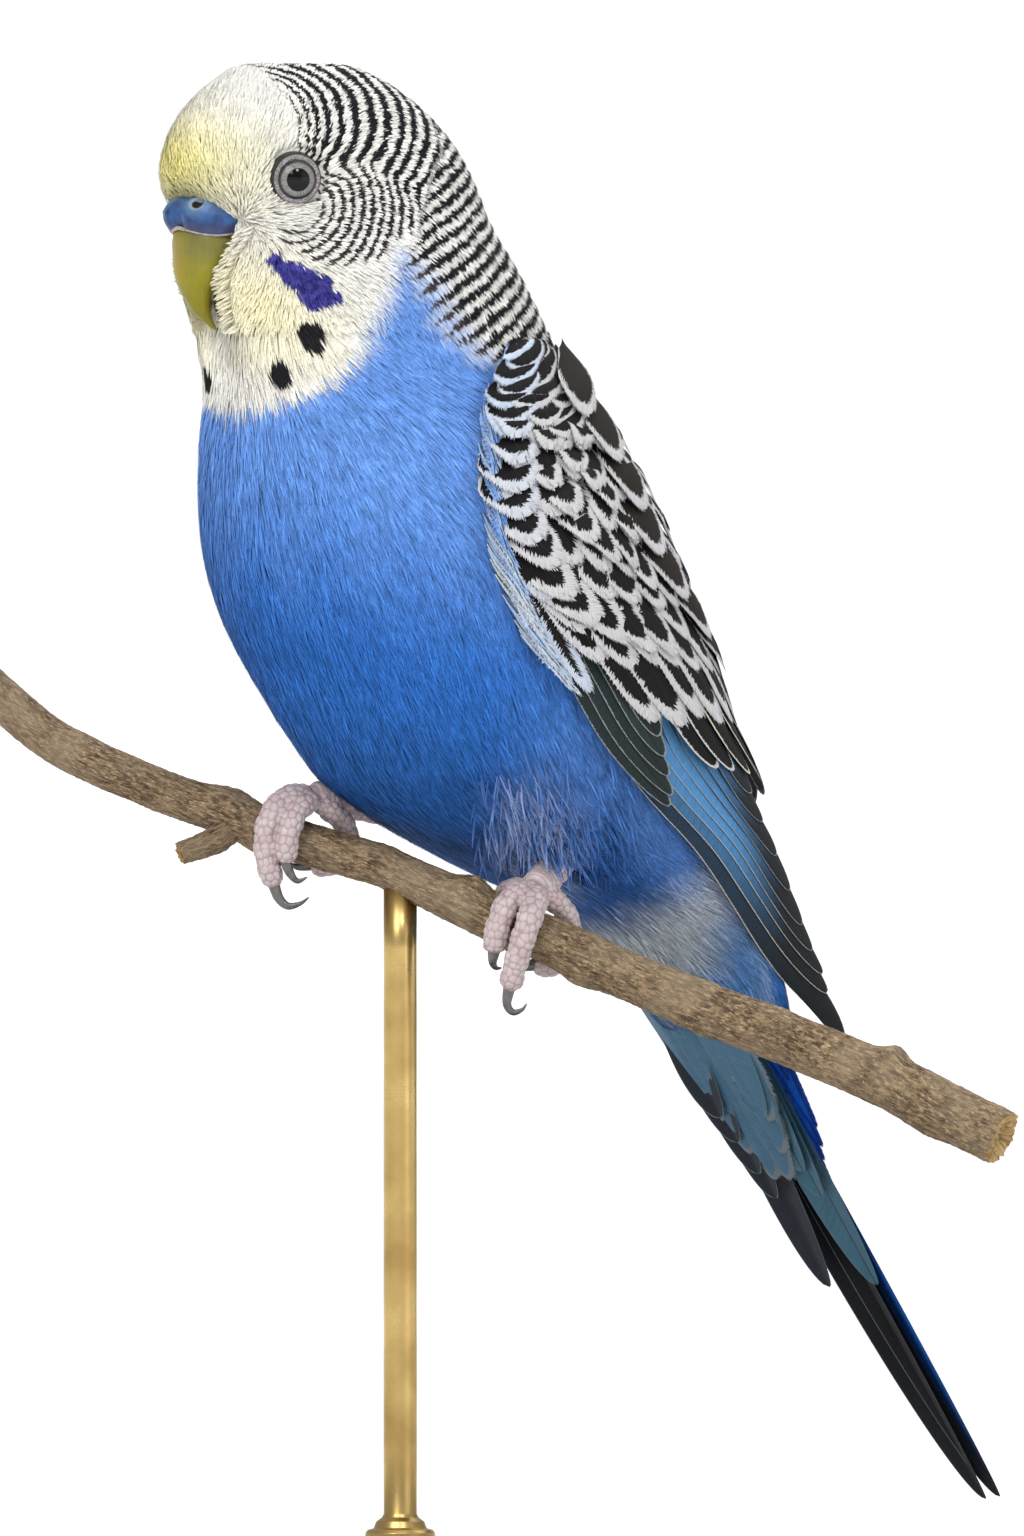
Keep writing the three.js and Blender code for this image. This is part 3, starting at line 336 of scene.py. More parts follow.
def plumage(points):
    """Base colour, [bar phase, spot depth, violet depth] and how far the bars show, for points on the bird."""
    angle, plain, side = body_angles(points)
    s, z = plain[:, 0], plain[:, 2]
    drift = ripple(points, 5, 3)
    # Painted shade: the blue darkens from breast to belly, less at the sides; it is partly the bird's own tone.
    colour = blend(LOW_BLUE_AND_SHADE, BELLY_BLUE, step_between(z, 95, 112))
    colour = blend(colour, BREAST_BLUE, step_between(z + 0.10 * (angle - 40) + 1.5 * drift, 112, 140))
    colour = blend(colour, BREAST_BLUE, 0.45 * step_between(angle, 50, 85) * step_between(z, 118, 104))
    vent = step_between(-s - 0.75 * (z - 88) + drift, 17, 31) * step_between(angle, 150, 70)
    colour = blend(colour, VENT_GREY, vent * step_between(z, 99, 91))
    colour = blend(colour, TAIL_ROOT_BLUE, vent * step_between(-s + drift, 24, 35))
    colour = blend(colour, RUMP_BLUE, step_between(angle, 96, 112) * step_between(z, 124, 116))
    aside = 0.616 * side - 0.788 * s  # how far along the row
    wisp = np.exp(-(np.hypot((aside - 8.4) / 4.6, (z - 90.8) / 6.5) ** 2)) * step_between(side, 0, 4)
    wisp = np.clip(1.1 * wisp, 0, 0.75) * step_between(ripple(points, 0.9, 31), -1.0, 0.5)
    colour = blend(colour, WISP_LILAC, wisp)
    soft = 0.9 + 1.5 * step_between(angle, 45, 72)
    bib = step_between(z - np.interp(angle, *zip(*BIB_EDGE)) + 0.3 * drift, -soft, soft)
    nape_edge = np.interp(z, *zip(*NAPE_EDGE))
    nape = step_between(angle - nape_edge + 3 * ripple(points, 1.6, 21), -6, 6) * step_between(z, 116, 121)
    colour = blend(colour, WHITE, np.maximum(bib, nape))
    front = np.exp(-(np.hypot(angle / 42, (z - 170.6) / 5.2) ** 2))
    colour = blend(colour, YELLOW, front * step_between(z, 163, 166))
    throat = np.exp(-(np.hypot((angle - 28) / 26, (z - 154.5) / 7.0) ** 2))
    colour = blend(colour, CREAM, np.clip(throat * 1.05, 0, 1) * bib)
    low_nape = nape * np.exp(-(((angle - nape_edge - 2) / 8) ** 2)) * step_between(z, 162, 157)
    colour = blend(colour, BREAST_BLUE, low_nape * 0.6)

    crown = ((plain - CROWN_MIDDLE[0]) ** 2) @ CROWN_MIDDLE[1]
    cheek = np.linalg.norm(plain - CHEEK_MIDDLE, axis=1)
    crown_phase = np.interp(crown, CROWN_BARS, np.arange(len(CROWN_BARS)) + 0.25)
    cheek_phase = 0.885 * cheek - 0.0056 * cheek**2 - 0.65
    fall = 0.46 * (20 - s) + 0.89 * (168 - z)
    nape_phase = fall / 1.72 - 0.0014 * np.maximum(fall, 0) ** 2
    upper = z - np.interp(s, *zip(*CROWN_FOOT)) + 0.4 * ripple(points, 3, 8)
    behind = 14.5 - s + 0.55 * (166 - z) + 0.8 * ripple(points, 3, 9)
    merge = step_between(upper, -3.4, 1.6)
    phase = cheek_phase * (1 - merge) + crown_phase * merge
    phase = np.where(behind > 0, nape_phase, phase)
    seam = np.exp(-(((upper + 0.9) / 1.6) ** 2)) * step_between(behind, 1, -1)
    seam = seam * step_between(s, 33, 30) * step_between(s, 17, 22)
    phase += 0.07 * ripple(points, 2.6, 4) + 0.05 * ripple(points, 0.9, 14) + seam * 0.18 * ripple(points, 0.8, 5)
    show_crown = step_between(crown, 5.2, 7.0) * step_between(s, 32.5, 29.5)
    show_cheek = step_between(cheek, 0.8, 4.6) * step_between(s, 33.5, 31.4) * (1 - 0.4 * seam)
    above_foot = z - np.interp(s, *zip(*CHEEK_FOOT)) + 0.4 * drift
    show_cheek *= step_between(above_foot, -0.6, 0.9) * (1 - 0.2 * step_between(s, 24, 30))
    show = show_cheek * 0.85 * (1 - merge) + show_crown * merge
    show = np.where(behind > 0, nape, show)
    show = show * (1 - 0.4 * low_nape)

    spot = np.full(len(points), -9.0)
    for (where, height), radius in SPOTS:
        gap = np.stack([s, side, z], -1) - on_trunk(where, height)
        spot = np.maximum(spot, radius - np.linalg.norm(gap * (1, 1, 0.88), axis=1))
    middle, start, end = (on_trunk(a, h) for a, h in CHEEK_PATCH)
    long = unit(end - start)
    gap = plain - middle
    along = gap @ long
    across = np.linalg.norm(gap - along[:, None] * long, axis=1)
    violet = 1.74 + 0.2 * along + 0.4 * ripple(points, 1.3, 6) - np.hypot(np.maximum(np.abs(along) - 2.8, 0), across)
    return colour, np.stack([phase, spot, violet], -1), show


def add_field(mesh, name, kind, values):
    field = mesh.attributes.new(name, kind, "POINT")
    key = {"FLOAT": "value", "FLOAT_VECTOR": "vector", "FLOAT_COLOR": "color"}[kind]
    field.data.foreach_set(key, np.ascontiguousarray(values, np.float32).ravel())


def with_alpha(colour):
    return np.hstack([colour, np.ones((len(colour), 1))])


def paint_plumage(mesh, points, tone, stray=0.0, tinted=None):
    """Writes the markings on a mesh whose points are in the bird's frame, lightened or darkened, and strayed."""
    colour, marks, show = plumage(points)
    if tinted is not None:
        colour = plumage(tinted)[0]
    marks += np.stack([stray + 0 * tone] * 3, -1) * (0.075, 0.16, 0.2)
    add_field(mesh, "tint", "FLOAT_COLOR", with_alpha(np.clip(colour * tone[:, None], 0, 1)))
    add_field(mesh, "marks", "FLOAT_VECTOR", marks)
    add_field(mesh, "bars", "FLOAT", show)


def socket_group(name, inputs, outputs):
    """A node group with the names and kinds of what goes in and comes out."""
    group = bpy.data.node_groups.new(name, "ShaderNodeTree")
    for way, sockets in (("INPUT", inputs), ("OUTPUT", outputs)):
        for label, kind in sockets.items():
            group.interface.new_socket(name=label, in_out=way, socket_type="NodeSocket" + kind)
    return group, group.nodes.new("NodeGroupInput"), group.nodes.new("NodeGroupOutput")


def node(tree, kind, settings=None, **links):
    """A node with its settings, and its inputs by name or by number: plain values are set, sockets are linked."""
    made = tree.nodes.new(kind)
    for key, value in (settings or {}).items():
        setattr(made, key, value)
    for key, value in links.items():
        number = key[1:] if key[0] == "i" else ""
        socket = made.inputs[int(number) if number.isdigit() else key.replace("_", " ")]
        if isinstance(value, bpy.types.NodeSocket):
            tree.links.new(value, socket)
        else:
            socket.default_value = value
    return made


def maths(tree, operation, a, b=0.0):
    return node(tree, "ShaderNodeMath", {"operation": operation}, i0=a, i1=b).outputs[0]


def times(tree, a, b):
    return maths(tree, "MULTIPLY", a, b)


def plus(tree, a, b):
    return maths(tree, "ADD", a, b)


def mixed(tree, share, a, b):
    a, b = ((*colour, 1) if isinstance(colour, tuple) else colour for colour in (a, b))
    return node(tree, "ShaderNodeMix", {"data_type": "RGBA"}, i0=share, i6=a, i7=b).outputs[2]


def ranged(tree, value, low, high, to_low=0.0, to_high=1.0):
    limits = {"From_Min": low, "From_Max": high, "To_Min": to_low, "To_Max": to_high}
    return node(tree, "ShaderNodeMapRange", None, Value=value, **limits).outputs[0]


def washed(tree, colour, value, low, high, over, most=1.0):
    """One colour going over to another, at most by the given share, as a value goes from low to high."""
    return mixed(tree, ranged(tree, value, low, high, 0.0, most), colour, over)


def scaled(tree, colour, amount):
    return node(tree, "ShaderNodeVectorMath", {"operation": "SCALE"}, i0=colour, Scale=amount).outputs[0]


def attribute(tree, name, out="Fac"):
    return node(tree, "ShaderNodeAttribute", {"attribute_name": name}).outputs[out]


def object_place(tree):
    return node(tree, "ShaderNodeTexCoord").outputs["Object"]


def stretched(tree, place, scale, turn=0.0):
    return node(tree, "ShaderNodeMapping", None, Vector=place, Scale=scale, Rotation=(0, 0, turn)).outputs[0]


def clouds(tree, place, scale, detail, **more):
    return node(tree, "ShaderNodeTexNoise", None, Vector=place, Scale=scale, Detail=detail, **more).outputs[0]


def dress(tree, shader, colour, height=None, strength=0.0, depth=0.0, invert=False):
    """Gives a shader its colour and, from a height, its bump."""
    tree.links.new(colour, shader.inputs["Base Color"])
    if height is not None:
        bump = node(tree, "ShaderNodeBump", {"invert": invert}, Height=height, Strength=strength, Distance=depth)
        tree.links.new(bump.outputs[0], shader.inputs["Normal"])


def new_material(name, **values):
    """A material with a Principled shader and its plain values."""
    material = bpy.data.materials.new(name)
    material.use_nodes = True
    tree = material.node_tree
    shader = tree.nodes["Principled BSDF"]
    for key, value in values.items():
        shader.inputs[key.replace("_", " ")].default_value = value
    return material, tree, shader


# The markings group turns the painted fields into crisp bars, spots and cheek patches at any size.
markings, given, made = socket_group(
    "plumage markings", {"Tint": "Color", "Marks": "Vector", "Bars": "Float"}, {"Color": "Color"}
)
fields = node(markings, "ShaderNodeSeparateXYZ", None, Vector=given.outputs["Marks"])
wave = maths(markings, "SINE", times(markings, fields.outputs[0], 2 * math.pi))
limit = ranged(markings, given.outputs["Bars"], 0.0, 1.0, 1.5, -0.08)
bar = ranged(markings, maths(markings, "SUBTRACT", wave, limit), -0.22, 0.22)
spot = ranged(markings, fields.outputs[1], -0.12, 0.12)
patch = ranged(markings, fields.outputs[2], -0.15, 0.15)
ink = washed(markings, (0.060, 0.048, 0.047), given.outputs["Bars"], 0.6, 0.95, INK)
colour = mixed(markings, bar, given.outputs["Tint"], ink)
strand = clouds(markings, object_place(markings), 1300.0, 2.0)
violet = washed(markings, VIOLET, strand, 0.3, 0.75, VIOLET_EDGE)
colour = mixed(markings, patch, colour, violet)
colour = mixed(markings, spot, colour, INK)
markings.links.new(colour, made.inputs["Color"])


def plumage_material(name, base, speckle, roughness):
    """Feathered cover: the markings, varied by fine and broad noise, with a fine bump."""
    material, tree, shader = new_material(name, Roughness=roughness, Specular_IOR_Level=0.1)
    plain = node(tree, "ShaderNodeGroup", {"node_tree": markings})
    for label, out in (("Tint", "Color"), ("Marks", "Vector"), ("Bars", "Fac")):
        tree.links.new(attribute(tree, label.lower(), out), plain.inputs[label])
    place = object_place(tree)
    fine = clouds(tree, place, speckle, 3.0)
    broad = clouds(tree, place, speckle / 9, 2.0)
    shade = times(tree, ranged(tree, fine, 0.3, 0.7, 0.8, 1.18), ranged(tree, broad, 0.3, 0.7, 0.93, 1.07))
    dress(tree, shader, scaled(tree, plain.outputs["Color"], times(tree, shade, base)), fine, 0.3, 0.0001)
    return material


skin.data.materials.append(plumage_material("skin_down", 0.8, 2400, 0.85))
skin_points = bird_points(skin)
paint_plumage(skin.data, skin_points, np.ones(len(skin_points)))
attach(skin, "root")
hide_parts("head", "neck", "torso", "rump", "thigh_left", "thigh_right")

# Coat: small body feathers over the skin as narrow, pointed strips of barbs. They are joined meshes that grow from
# points spread evenly over the skin, lie along the flow of the plumage and overlap like the real ones. They are
# shortest round the bill and eyes and longest on belly and vent.
BILL_ROOT = (36.0, 0.0, 165.0)
GAPE = (36.2, 7.6, 163.9)
THROAT = (34.0, 0.0, 160.0)
BREAST_TURN = (108, 138)
STRIP_SHARES = (0.0, 0.36, 0.72, 1.0)
STRIP_WIDTHS = (0.55, 1.0, 0.8, 0.05)
# how far round the face the bristly fringe beside the bill begins, by height
FRINGE_EDGE = [(151.3, 8), (153, 5), (156, 8), (157.5, 10.5), (158.9, 13.5), (160, 16), (161.5, 20), (163.6, 27)]
FRINGE_COUNT = 600
# pale wisps that hang over the left ankle
WISP_COUNT = 420
PATCH = 0.003
COAT_REGIONS = (
    "crown", "face_left", "face_right", "nape", "breast_left", "breast_right", "back", "belly_left", "belly_right",
    "vent",
)
draw = np.random.default_rng(7)


def head_place(forward, side, z):
    """A place on the head, which is turned about the upright line through its middle."""
    c, s = math.cos(HEAD_TURN), math.sin(HEAD_TURN)
    return np.stack([HEAD_MIDDLE + forward * c - side * s, forward * s + side * c, z + 0 * forward], -1)


def plumage_flow(points, normals):
    """Which way the feathers lie: back from the bill over the head, fanning from the throat, then down the body."""
    _, plain, side = body_angles(points)
    turned = np.stack([plain[:, 0], side, plain[:, 2]], -1)
    z = points[:, 2]
    corner = np.clip(side, -GAPE[1], GAPE[1])
    away = turned - np.stack([0 * z + GAPE[0], corner, 0 * z + GAPE[2]], -1)
    reach = np.linalg.norm(turned - BILL_ROOT, axis=1)
    beside = np.exp(-(np.hypot((np.abs(side) - 7) / 4.5, (z - 157) / 5.5) ** 2))
    fall = -0.9 * beside - 1.25 * step_between(reach, 15, 33)
    head = unit(away) + np.stack([0.3 * beside, -1.2 * beside * np.sign(side), fall], -1)
    lean = np.interp(z, trunk_table[0], np.gradient(trunk_table[1][:, 0], trunk_table[0]))
    down = unit(np.stack([-np.clip(lean, 0, 1.6), 0 * z, -np.ones(len(z))], -1))
    fan = unit(turned - THROAT)
    share = step_between(z, *BREAST_TURN)[:, None] * 0.85
    body = unit(fan * share + down * (1 - share))
    flow = blend(body, head, step_between(z, 146, 156))
    flow = flow - normals * (flow * normals).sum(1)[:, None]
    return unit(flow)


def coat_length(plain):
    z = plain[:, 2]
    head = np.interp(np.linalg.norm(plain - BILL_ROOT, axis=1), [0, 7, 12, 22, 34], [1.0, 1.5, 1.9, 2.4, 3.4])
    body = np.interp(z, [72, 90, 100, 125, 142, 152], [8.6, 8.6, 8.4, 7.6, 6.2, 4.2])
    return np.where(z > 152, head, body)


def repeated(count, corners, faces):
    """The same few triangles for each of many strips with this many corners."""
    return (np.arange(count)[:, None, None] * corners + np.array(faces)).reshape(-1, 3)


def sheet_piece(name, points, faces, uv, material):
    """A mesh of three-cornered faces given as arrays, with its places on the bake's map."""
    mesh = bpy.data.meshes.new(name)
    mesh.vertices.add(len(points))
    mesh.vertices.foreach_set("co", to_row(points).astype(np.float32).ravel())
    mesh.loops.add(faces.size)
    mesh.loops.foreach_set("vertex_index", faces.astype(np.int32).ravel())
    mesh.polygons.add(len(faces))
    mesh.polygons.foreach_set("loop_start", np.arange(0, faces.size, 3, dtype=np.int32))
    mesh.update(calc_edges=True)
    mesh.polygons.foreach_set("use_smooth", [True] * len(faces))
    layer = mesh.uv_layers.new(name="OFBake")
    layer.data.foreach_set("uv", uv[faces.ravel()].astype(np.float32).ravel())
    mesh.materials.append(material)
    return linked(name, mesh)


tree_of_skin = BVHTree.FromObject(skin, bpy.context.evaluated_depsgraph_get())
skin.data.calc_loop_triangles()
corners = np.zeros(len(skin.data.loop_triangles) * 3, int)
skin.data.loop_triangles.foreach_get("vertices", corners)
corners = corners.reshape(-1, 3)
vert_normals = np.zeros(len(skin_points) * 3)
skin.data.vertices.foreach_get("normal", vert_normals)
vert_normals = bird_way(vert_normals.reshape(-1, 3))
a, b, c = (skin_points[corners[:, k]] for k in range(3))
areas = np.linalg.norm(np.cross(b - a, c - a), axis=1) / 2
middles = (a + b + c) / 3
angle, plain, side = body_angles(middles)
density = np.interp(middles[:, 2], [70, 100, 140, 150, 160, 184], [9, 11, 12, 14, 16, 17])
wing_cover = (middles[:, 2] > 82) & (middles[:, 2] < 141) & (angle > 96) & (angle < 158)
density[wing_cover] = 0
density[(middles[:, 2] < 76)] *= 0.5
quota = np.cumsum(areas * density)
count = int(quota[-1])
pick = np.searchsorted(quota, (np.arange(count) + draw.random(count)) / count * quota[-1])
u, v = draw.random(count), draw.random(count)
u, v = np.where(u + v > 1, 1 - u, u), np.where(u + v > 1, 1 - v, v)
weights = np.stack([1 - u - v, u, v], -1)[:, :, None]
roots = (skin_points[corners[pick]] * weights).sum(1)
normals = unit((vert_normals[corners[pick]] * weights).sum(1))
angle, plain, side = body_angles(roots)
eyes = [head_place(EYE[0], k * EYE[1], EYE[2]) for k in (1, -1)]
eye_gap = np.min([np.linalg.norm(roots - eye, axis=1) for eye in eyes], axis=0)
bill_gap = np.hypot((plain[:, 1]) / 4.3, (roots[:, 2] - 159.0) / 4.5)
keep = (eye_gap > 3.45) & ~((bill_gap < 1) & (plain[:, 0] > 24))
keep &= ~((np.hypot(plain[:, 1] / 6.7, (roots[:, 2] - 163.5) / 3.3) < 1) & (plain[:, 0] > 24))
roots, normals, angle, plain, side = (x[keep] for x in (roots, normals, angle, plain, side))
count = len(roots)
free = np.zeros(count, bool)
fringe_z = draw.uniform(FRINGE_EDGE[0][0], FRINGE_EDGE[-1][0], FRINGE_COUNT)
fringe_side = np.where(draw.random(FRINGE_COUNT) < 0.5, 1, -1)
fringe_z = np.where(fringe_side > 0, fringe_z, FRINGE_EDGE[0][0] + (fringe_z - FRINGE_EDGE[0][0]) * 0.72)
fringe_angle = np.interp(fringe_z, *zip(*FRINGE_EDGE)) + draw.uniform(2.5, 10, FRINGE_COUNT)
fringe_roots = np.array([on_trunk(a, z) for a, z in zip(fringe_angle, fringe_z)])
fringe_roots = head_place(fringe_roots[:, 0] - HEAD_MIDDLE - 0.5, fringe_roots[:, 1] * fringe_side, fringe_z)
fringe_way = np.stack([0.80 + 0 * fringe_z, -0.34 * fringe_side, -0.52 - 0.02 * (160 - fringe_z)], -1)
fringe_way = unit(head_place(*fringe_way.T) - (HEAD_MIDDLE, 0, 0))
flow = np.vstack([plumage_flow(roots, normals), fringe_way])
roots = np.vstack([roots, fringe_roots])
outward = unit(head_place(0.3 + 0 * fringe_z, 1.0 * fringe_side, 0 * fringe_z) - (HEAD_MIDDLE, 0, 0))
normals = np.vstack([normals, unit(outward - fringe_way * (outward * fringe_way).sum(1)[:, None])])
wisp_roots, wisp_flow = [], []
wisp_x, wisp_z = draw.uniform(-4.5, 14, WISP_COUNT), draw.triangular(87.5, 90, 102, WISP_COUNT)
for x, z, slope in zip(wisp_x, wisp_z, draw.normal(0, 0.2, WISP_COUNT)):
    spot = tree_of_skin.ray_cast(Vector((x / 1000, -0.5, z / 1000)), Vector((0, 1, 0)))[0]
    if spot is not None and spot.y < -0.002:
        wisp_roots.append(spot)
        wisp_flow.append((slope + 0.25, -0.3, -1.0))
wisp_roots = to_bird(np.array(wisp_roots))
wisp_flow = unit(bird_way(wisp_flow))
roots, flow = np.vstack([roots, wisp_roots]), np.vstack([flow, wisp_flow])
facing = bird_way([[0.2, -0.95, 0.2]])
normals = np.vstack([normals, unit(facing - wisp_flow * (wisp_flow @ facing.T))])
wisp = np.arange(len(roots)) >= len(roots) - len(wisp_roots)
free = np.concatenate([free, np.ones(len(roots) - len(free), bool)])
angle, plain, side = body_angles(roots)
count = len(roots)
across = np.cross(normals, flow)
swing = np.radians(7 * ripple(roots, 2.4, 11) + draw.normal(0, 5, count))
swing_c, swing_s = np.cos(swing)[:, None], np.sin(swing)[:, None]
flow, across = flow * swing_c + across * swing_s, across * swing_c - flow * swing_s
length = np.where(free, 1.15, coat_length(plain)) * draw.uniform(0.8, 1.2, count)
length[wisp] *= 3.6
width = np.interp(length, [1, 3, 6], [0.23, 0.30, 0.32]) * draw.uniform(0.8, 1.25, count)
width[wisp] *= 0.6
raise_tip = np.interp(length, [1, 3, 6], [0.5, 0.85, 1.05]) + draw.normal(0, 0.09, count)
tone_spread = np.interp(roots[:, 2], [140, 152], [0.17, 0.07])
tone = (1 + draw.normal(0, 1, count) * tone_spread) * (1 + 0.05 * ripple(roots, 1.2, 12))
stray = draw.normal(0, 1, count)
strips = []
for share, wide in zip(STRIP_SHARES, STRIP_WIDTHS):
    ahead = roots + flow * (length * share)[:, None]
    ground, lie = np.empty_like(ahead), np.empty_like(ahead)
    for i, point in enumerate(to_row(ahead)):
        spot, normal = tree_of_skin.find_nearest(Vector(point))[:2]
        ground[i], lie[i] = (point, normal) if free[i] else (spot, normal)
    ground = to_bird(ground)
    lie = unit(bird_way(lie))
    high = 0.05 + raise_tip * (1 - (1 - share) ** 1.6)
    middle = ground + lie * high[:, None]
    strips.append((middle, across * (width * wide / 2)[:, None]))
left = np.stack([m - w for m, w in strips], 1)
right = np.stack([m + w for m, w in strips], 1)
region = np.select(
    [
        plain[:, 2] > 171.5,
        (plain[:, 2] > 152) & (angle < 100) & (side > 0),
        (plain[:, 2] > 152) & (angle < 100),
        (plain[:, 2] > 141),
        (angle > 100) & (plain[:, 2] > 84),
        (plain[:, 2] > 116) & (side > 0),
        (plain[:, 2] > 116),
        (plain[:, 2] > 92) & (side > 0),
        (plain[:, 2] > 92),
    ],
    [0, 1, 2, 3, 6, 4, 5, 7, 8],
    9,
)
coat_look = plumage_material("coat_barbs", 1.0, 5200, 0.7)
for number, name in enumerate(COAT_REGIONS):
    chosen = np.where(region == number)[0]
    n = len(chosen)
    verts = np.empty((n, 7, 3))
    verts[:, 0:6:2] = left[chosen, :3]
    verts[:, 1:6:2] = right[chosen, :3]
    verts[:, 6] = (left[chosen, 3] + right[chosen, 3]) / 2
    verts = verts.reshape(-1, 3)
    faces = repeated(n, 7, [[0, 1, 3], [0, 3, 2], [2, 3, 5], [2, 5, 4], [4, 5, 6]])
    where = np.repeat(roots[chosen] * 0.4 + (flow * length[:, None])[chosen] * 0.28, 7, 0) + verts * 0.6
    # Painted shade: each strip is darker at its root and lighter at its tip, as if shaded by the strips over it.
    shade = np.repeat(tone[chosen], 7) * np.tile([0.72, 0.72, 0.9, 0.9, 1.05, 1.05, 1.1], n)
    rooted = np.repeat(roots[chosen] + (flow * length[:, None])[chosen] * 0.45 + draw.normal(0, 0.35, (n, 3)), 7, 0)
    around = (angle[chosen] * np.sign(side[chosen]) + 180) / 360
    level = (plain[chosen, 2] - TAIL_END) / (CROWN - TAIL_END)
    place = np.stack([around, level], -1)
    place = (place - place.min(0)) / np.maximum(np.ptp(place, axis=0), 1e-6) * (1 - 2 * PATCH) + PATCH
    corner = np.array([[-0.5, 0], [0.5, 0], [-0.5, 0.36], [0.5, 0.36], [-0.5, 0.72], [0.5, 0.72], [0, 1]]) - (0, 0.5)
    spread = (place[:, None, :] + corner[None] * PATCH).reshape(-1, 2)
    piece = sheet_piece("coat_" + name, verts, faces, spread, coat_look)
    paint_plumage(piece.data, where, shade, np.repeat(stray[chosen], 7), rooted)
    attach(piece, "root")
    print("coat", name, n, "tufts", len(faces), "triangles")

# Feather vanes: wings and tail are laid feather by feather. Each is a thin lens of two sheets with a shaft, an
# outer and an inner web and a hem. Its coverts have loose barbs round the tip, as on the living bird.
VANE_THICK = 0.16
BARB_STEP = 0.26
# length and width of a loose barb
LOOSE_BARB = (1.5, 0.2)


def outline_width(t, point, neck):
    """Half width along a feather, from a narrow quill through full webs to a round tip."""
    body = neck + (1 - neck) * step_between(t, 0, 0.3)
    tip = np.sqrt(np.clip(1 - (np.maximum(t - point, 0) / (1 - point)) ** 2, 0, 1))
    return body * tip


def start_batch():
    return {key: [] for key in ("at", "faces", "tint", "hem", "core", "barb", "cell", "uv")}


def add_sheet(batch, points, faces, fields, cell, uv):
    start = sum(len(p) for p in batch["at"])
    batch["at"].append(points)
    batch["faces"].append(faces + start)
    for key in ("tint", "hem", "core", "barb"):
        batch[key].append(fields[key])
    batch["cell"].append(np.full(len(points), cell))
    batch["uv"].append(uv)


def add_feather(
    batch, chart, root, tip, stretch, width, rise, paint, hem, fringe, under,
    skew=0.5, point=0.6, neck=0.45, bow=0.0, size=(8, 16), loose=0, shaft=True,
):
    """One feather in a chart of the surface it lies on.

    Root and tip are chart places and stretch is mm per unit down. Rise gives its height over the surface, paint and
    under its colours above and below, and fringe how wide its hem is at the sides and at the tip.
    """
    root, tip = np.array(root, float), np.array(tip, float)
    way = (tip - root) * (1, stretch)
    length = np.linalg.norm(way)
    way /= length
    aside = np.array([-way[1], way[0]]) * (1 if way[1] < 0 else -1)
    mark = draw.random()
    ragged = min(max(fringe[1] / 1.4, 0.05), 1)
    cell = batch["cell"][-1][0] + 1 if batch["cell"] else 0

    def at(x, y, extra):
        t = y / length
        middle = root[None] + (tip - root)[None] * t[:, None]
        middle[:, 0] += bow * np.sin(np.pi * np.clip(t, 0, 1))
        spot = middle + x[:, None] * aside[None] * (1, 1 / stretch)
        return chart(spot[:, 0], spot[:, 1], rise(x / width * 2, t) + extra)

    def half(u, t):
        return width * outline_width(t, point, neck) * np.where(u < 0, skew, 1 - skew)

    def fields(x, y, u, below):
        t = np.clip(y / length, 0, 1)
        inner = np.clip(t / (1 - fringe[1] / length), 0, 1)
        dark = (width - 2 * fringe[0]) * outline_width(inner, point, neck) * np.where(u < 0, skew, 1 - skew)
        lower = under if callable(under) else lambda u, t: np.tile(np.array(under, float), (len(u), 1))
        # Painted shade: on the underside the hem is the upper hem darkened to six tenths.
        edge = [*(np.array(hem, float) * (0.6 if below else 1)), ragged]
        return {
            "tint": lower(u, t) if below else paint(u, t),
            "hem": np.tile(edge, (len(x), 1)),
            "core": np.minimum(dark - np.abs(x), length - fringe[1] - y),
            "barb": np.stack([y - 0.9 * np.abs(x), x + (0 if shaft else 60), np.full(len(x), mark * 40)], -1),
        }

    nu, nt = size
    u, t = np.meshgrid(np.linspace(-1, 1, nu + 1), 1 - (1 - np.linspace(0, 1, nt + 1)) ** 1.35)
    u, t = u.ravel(), t.ravel()
    x, y = u * half(u, t), t * length
    quad = (np.arange(nt)[:, None] * (nu + 1) + np.arange(nu)[None]).ravel()[:, None]
    faces = np.vstack([quad + (0, 1, nu + 2), quad + (0, nu + 2, nu + 1)])
    puff = VANE_THICK / 2 * np.sqrt(np.clip(1 - u**2, 0, 1)) * np.clip((1 - t) * 8, 0, 1)
    uv = np.stack([(u + 1) / 2, t], -1)
    add_sheet(batch, at(x, y, puff), faces, fields(x, y, u, False), cell, uv)
    add_sheet(batch, at(x, y, -puff), faces[:, ::-1], fields(x, y, u, True), cell, uv)
    if loose:
        turn = np.linspace(-1, 1, loose) + draw.normal(0, 0.5 / loose, loose)
        t0 = 1 - 0.6 * np.abs(np.clip(turn, -1, 1)) ** 1.5
        edge = np.sign(turn) * half(np.sign(turn), np.minimum(t0, 0.985))
        heading = np.radians(62) * np.clip(turn * 1.1, -1, 1) + draw.normal(0, 0.10, loose)
        ahead = np.stack([np.sin(heading), np.cos(heading)], -1)
        long = LOOSE_BARB[0] * draw.uniform(0.7, 1.15, loose)
        start = np.stack([edge, np.minimum(t0, 0.985) * length], -1) - ahead * (long * 0.72)[:, None]
        over = np.stack([ahead[:, 1], -ahead[:, 0]], -1) * LOOSE_BARB[1] / 2
        waist = start + ahead * (long * 0.6)[:, None]
        spots = [start - over, start + over, waist - over, waist + over, start + ahead * long[:, None]]
        spots = np.stack(spots, 1).reshape(-1, 2)
        faces = repeated(loose, 5, [[0, 1, 3], [0, 3, 2], [2, 3, 4]])
        where = fields(spots[:, 0], spots[:, 1], np.sign(spots[:, 0]), False)
        uv = np.clip(np.stack([spots[:, 0] / width + 0.5, spots[:, 1] / length], -1), 0.01, 0.99)
        add_sheet(batch, at(spots[:, 0], spots[:, 1], np.full(len(spots), 0.07)), faces, where, cell, uv)


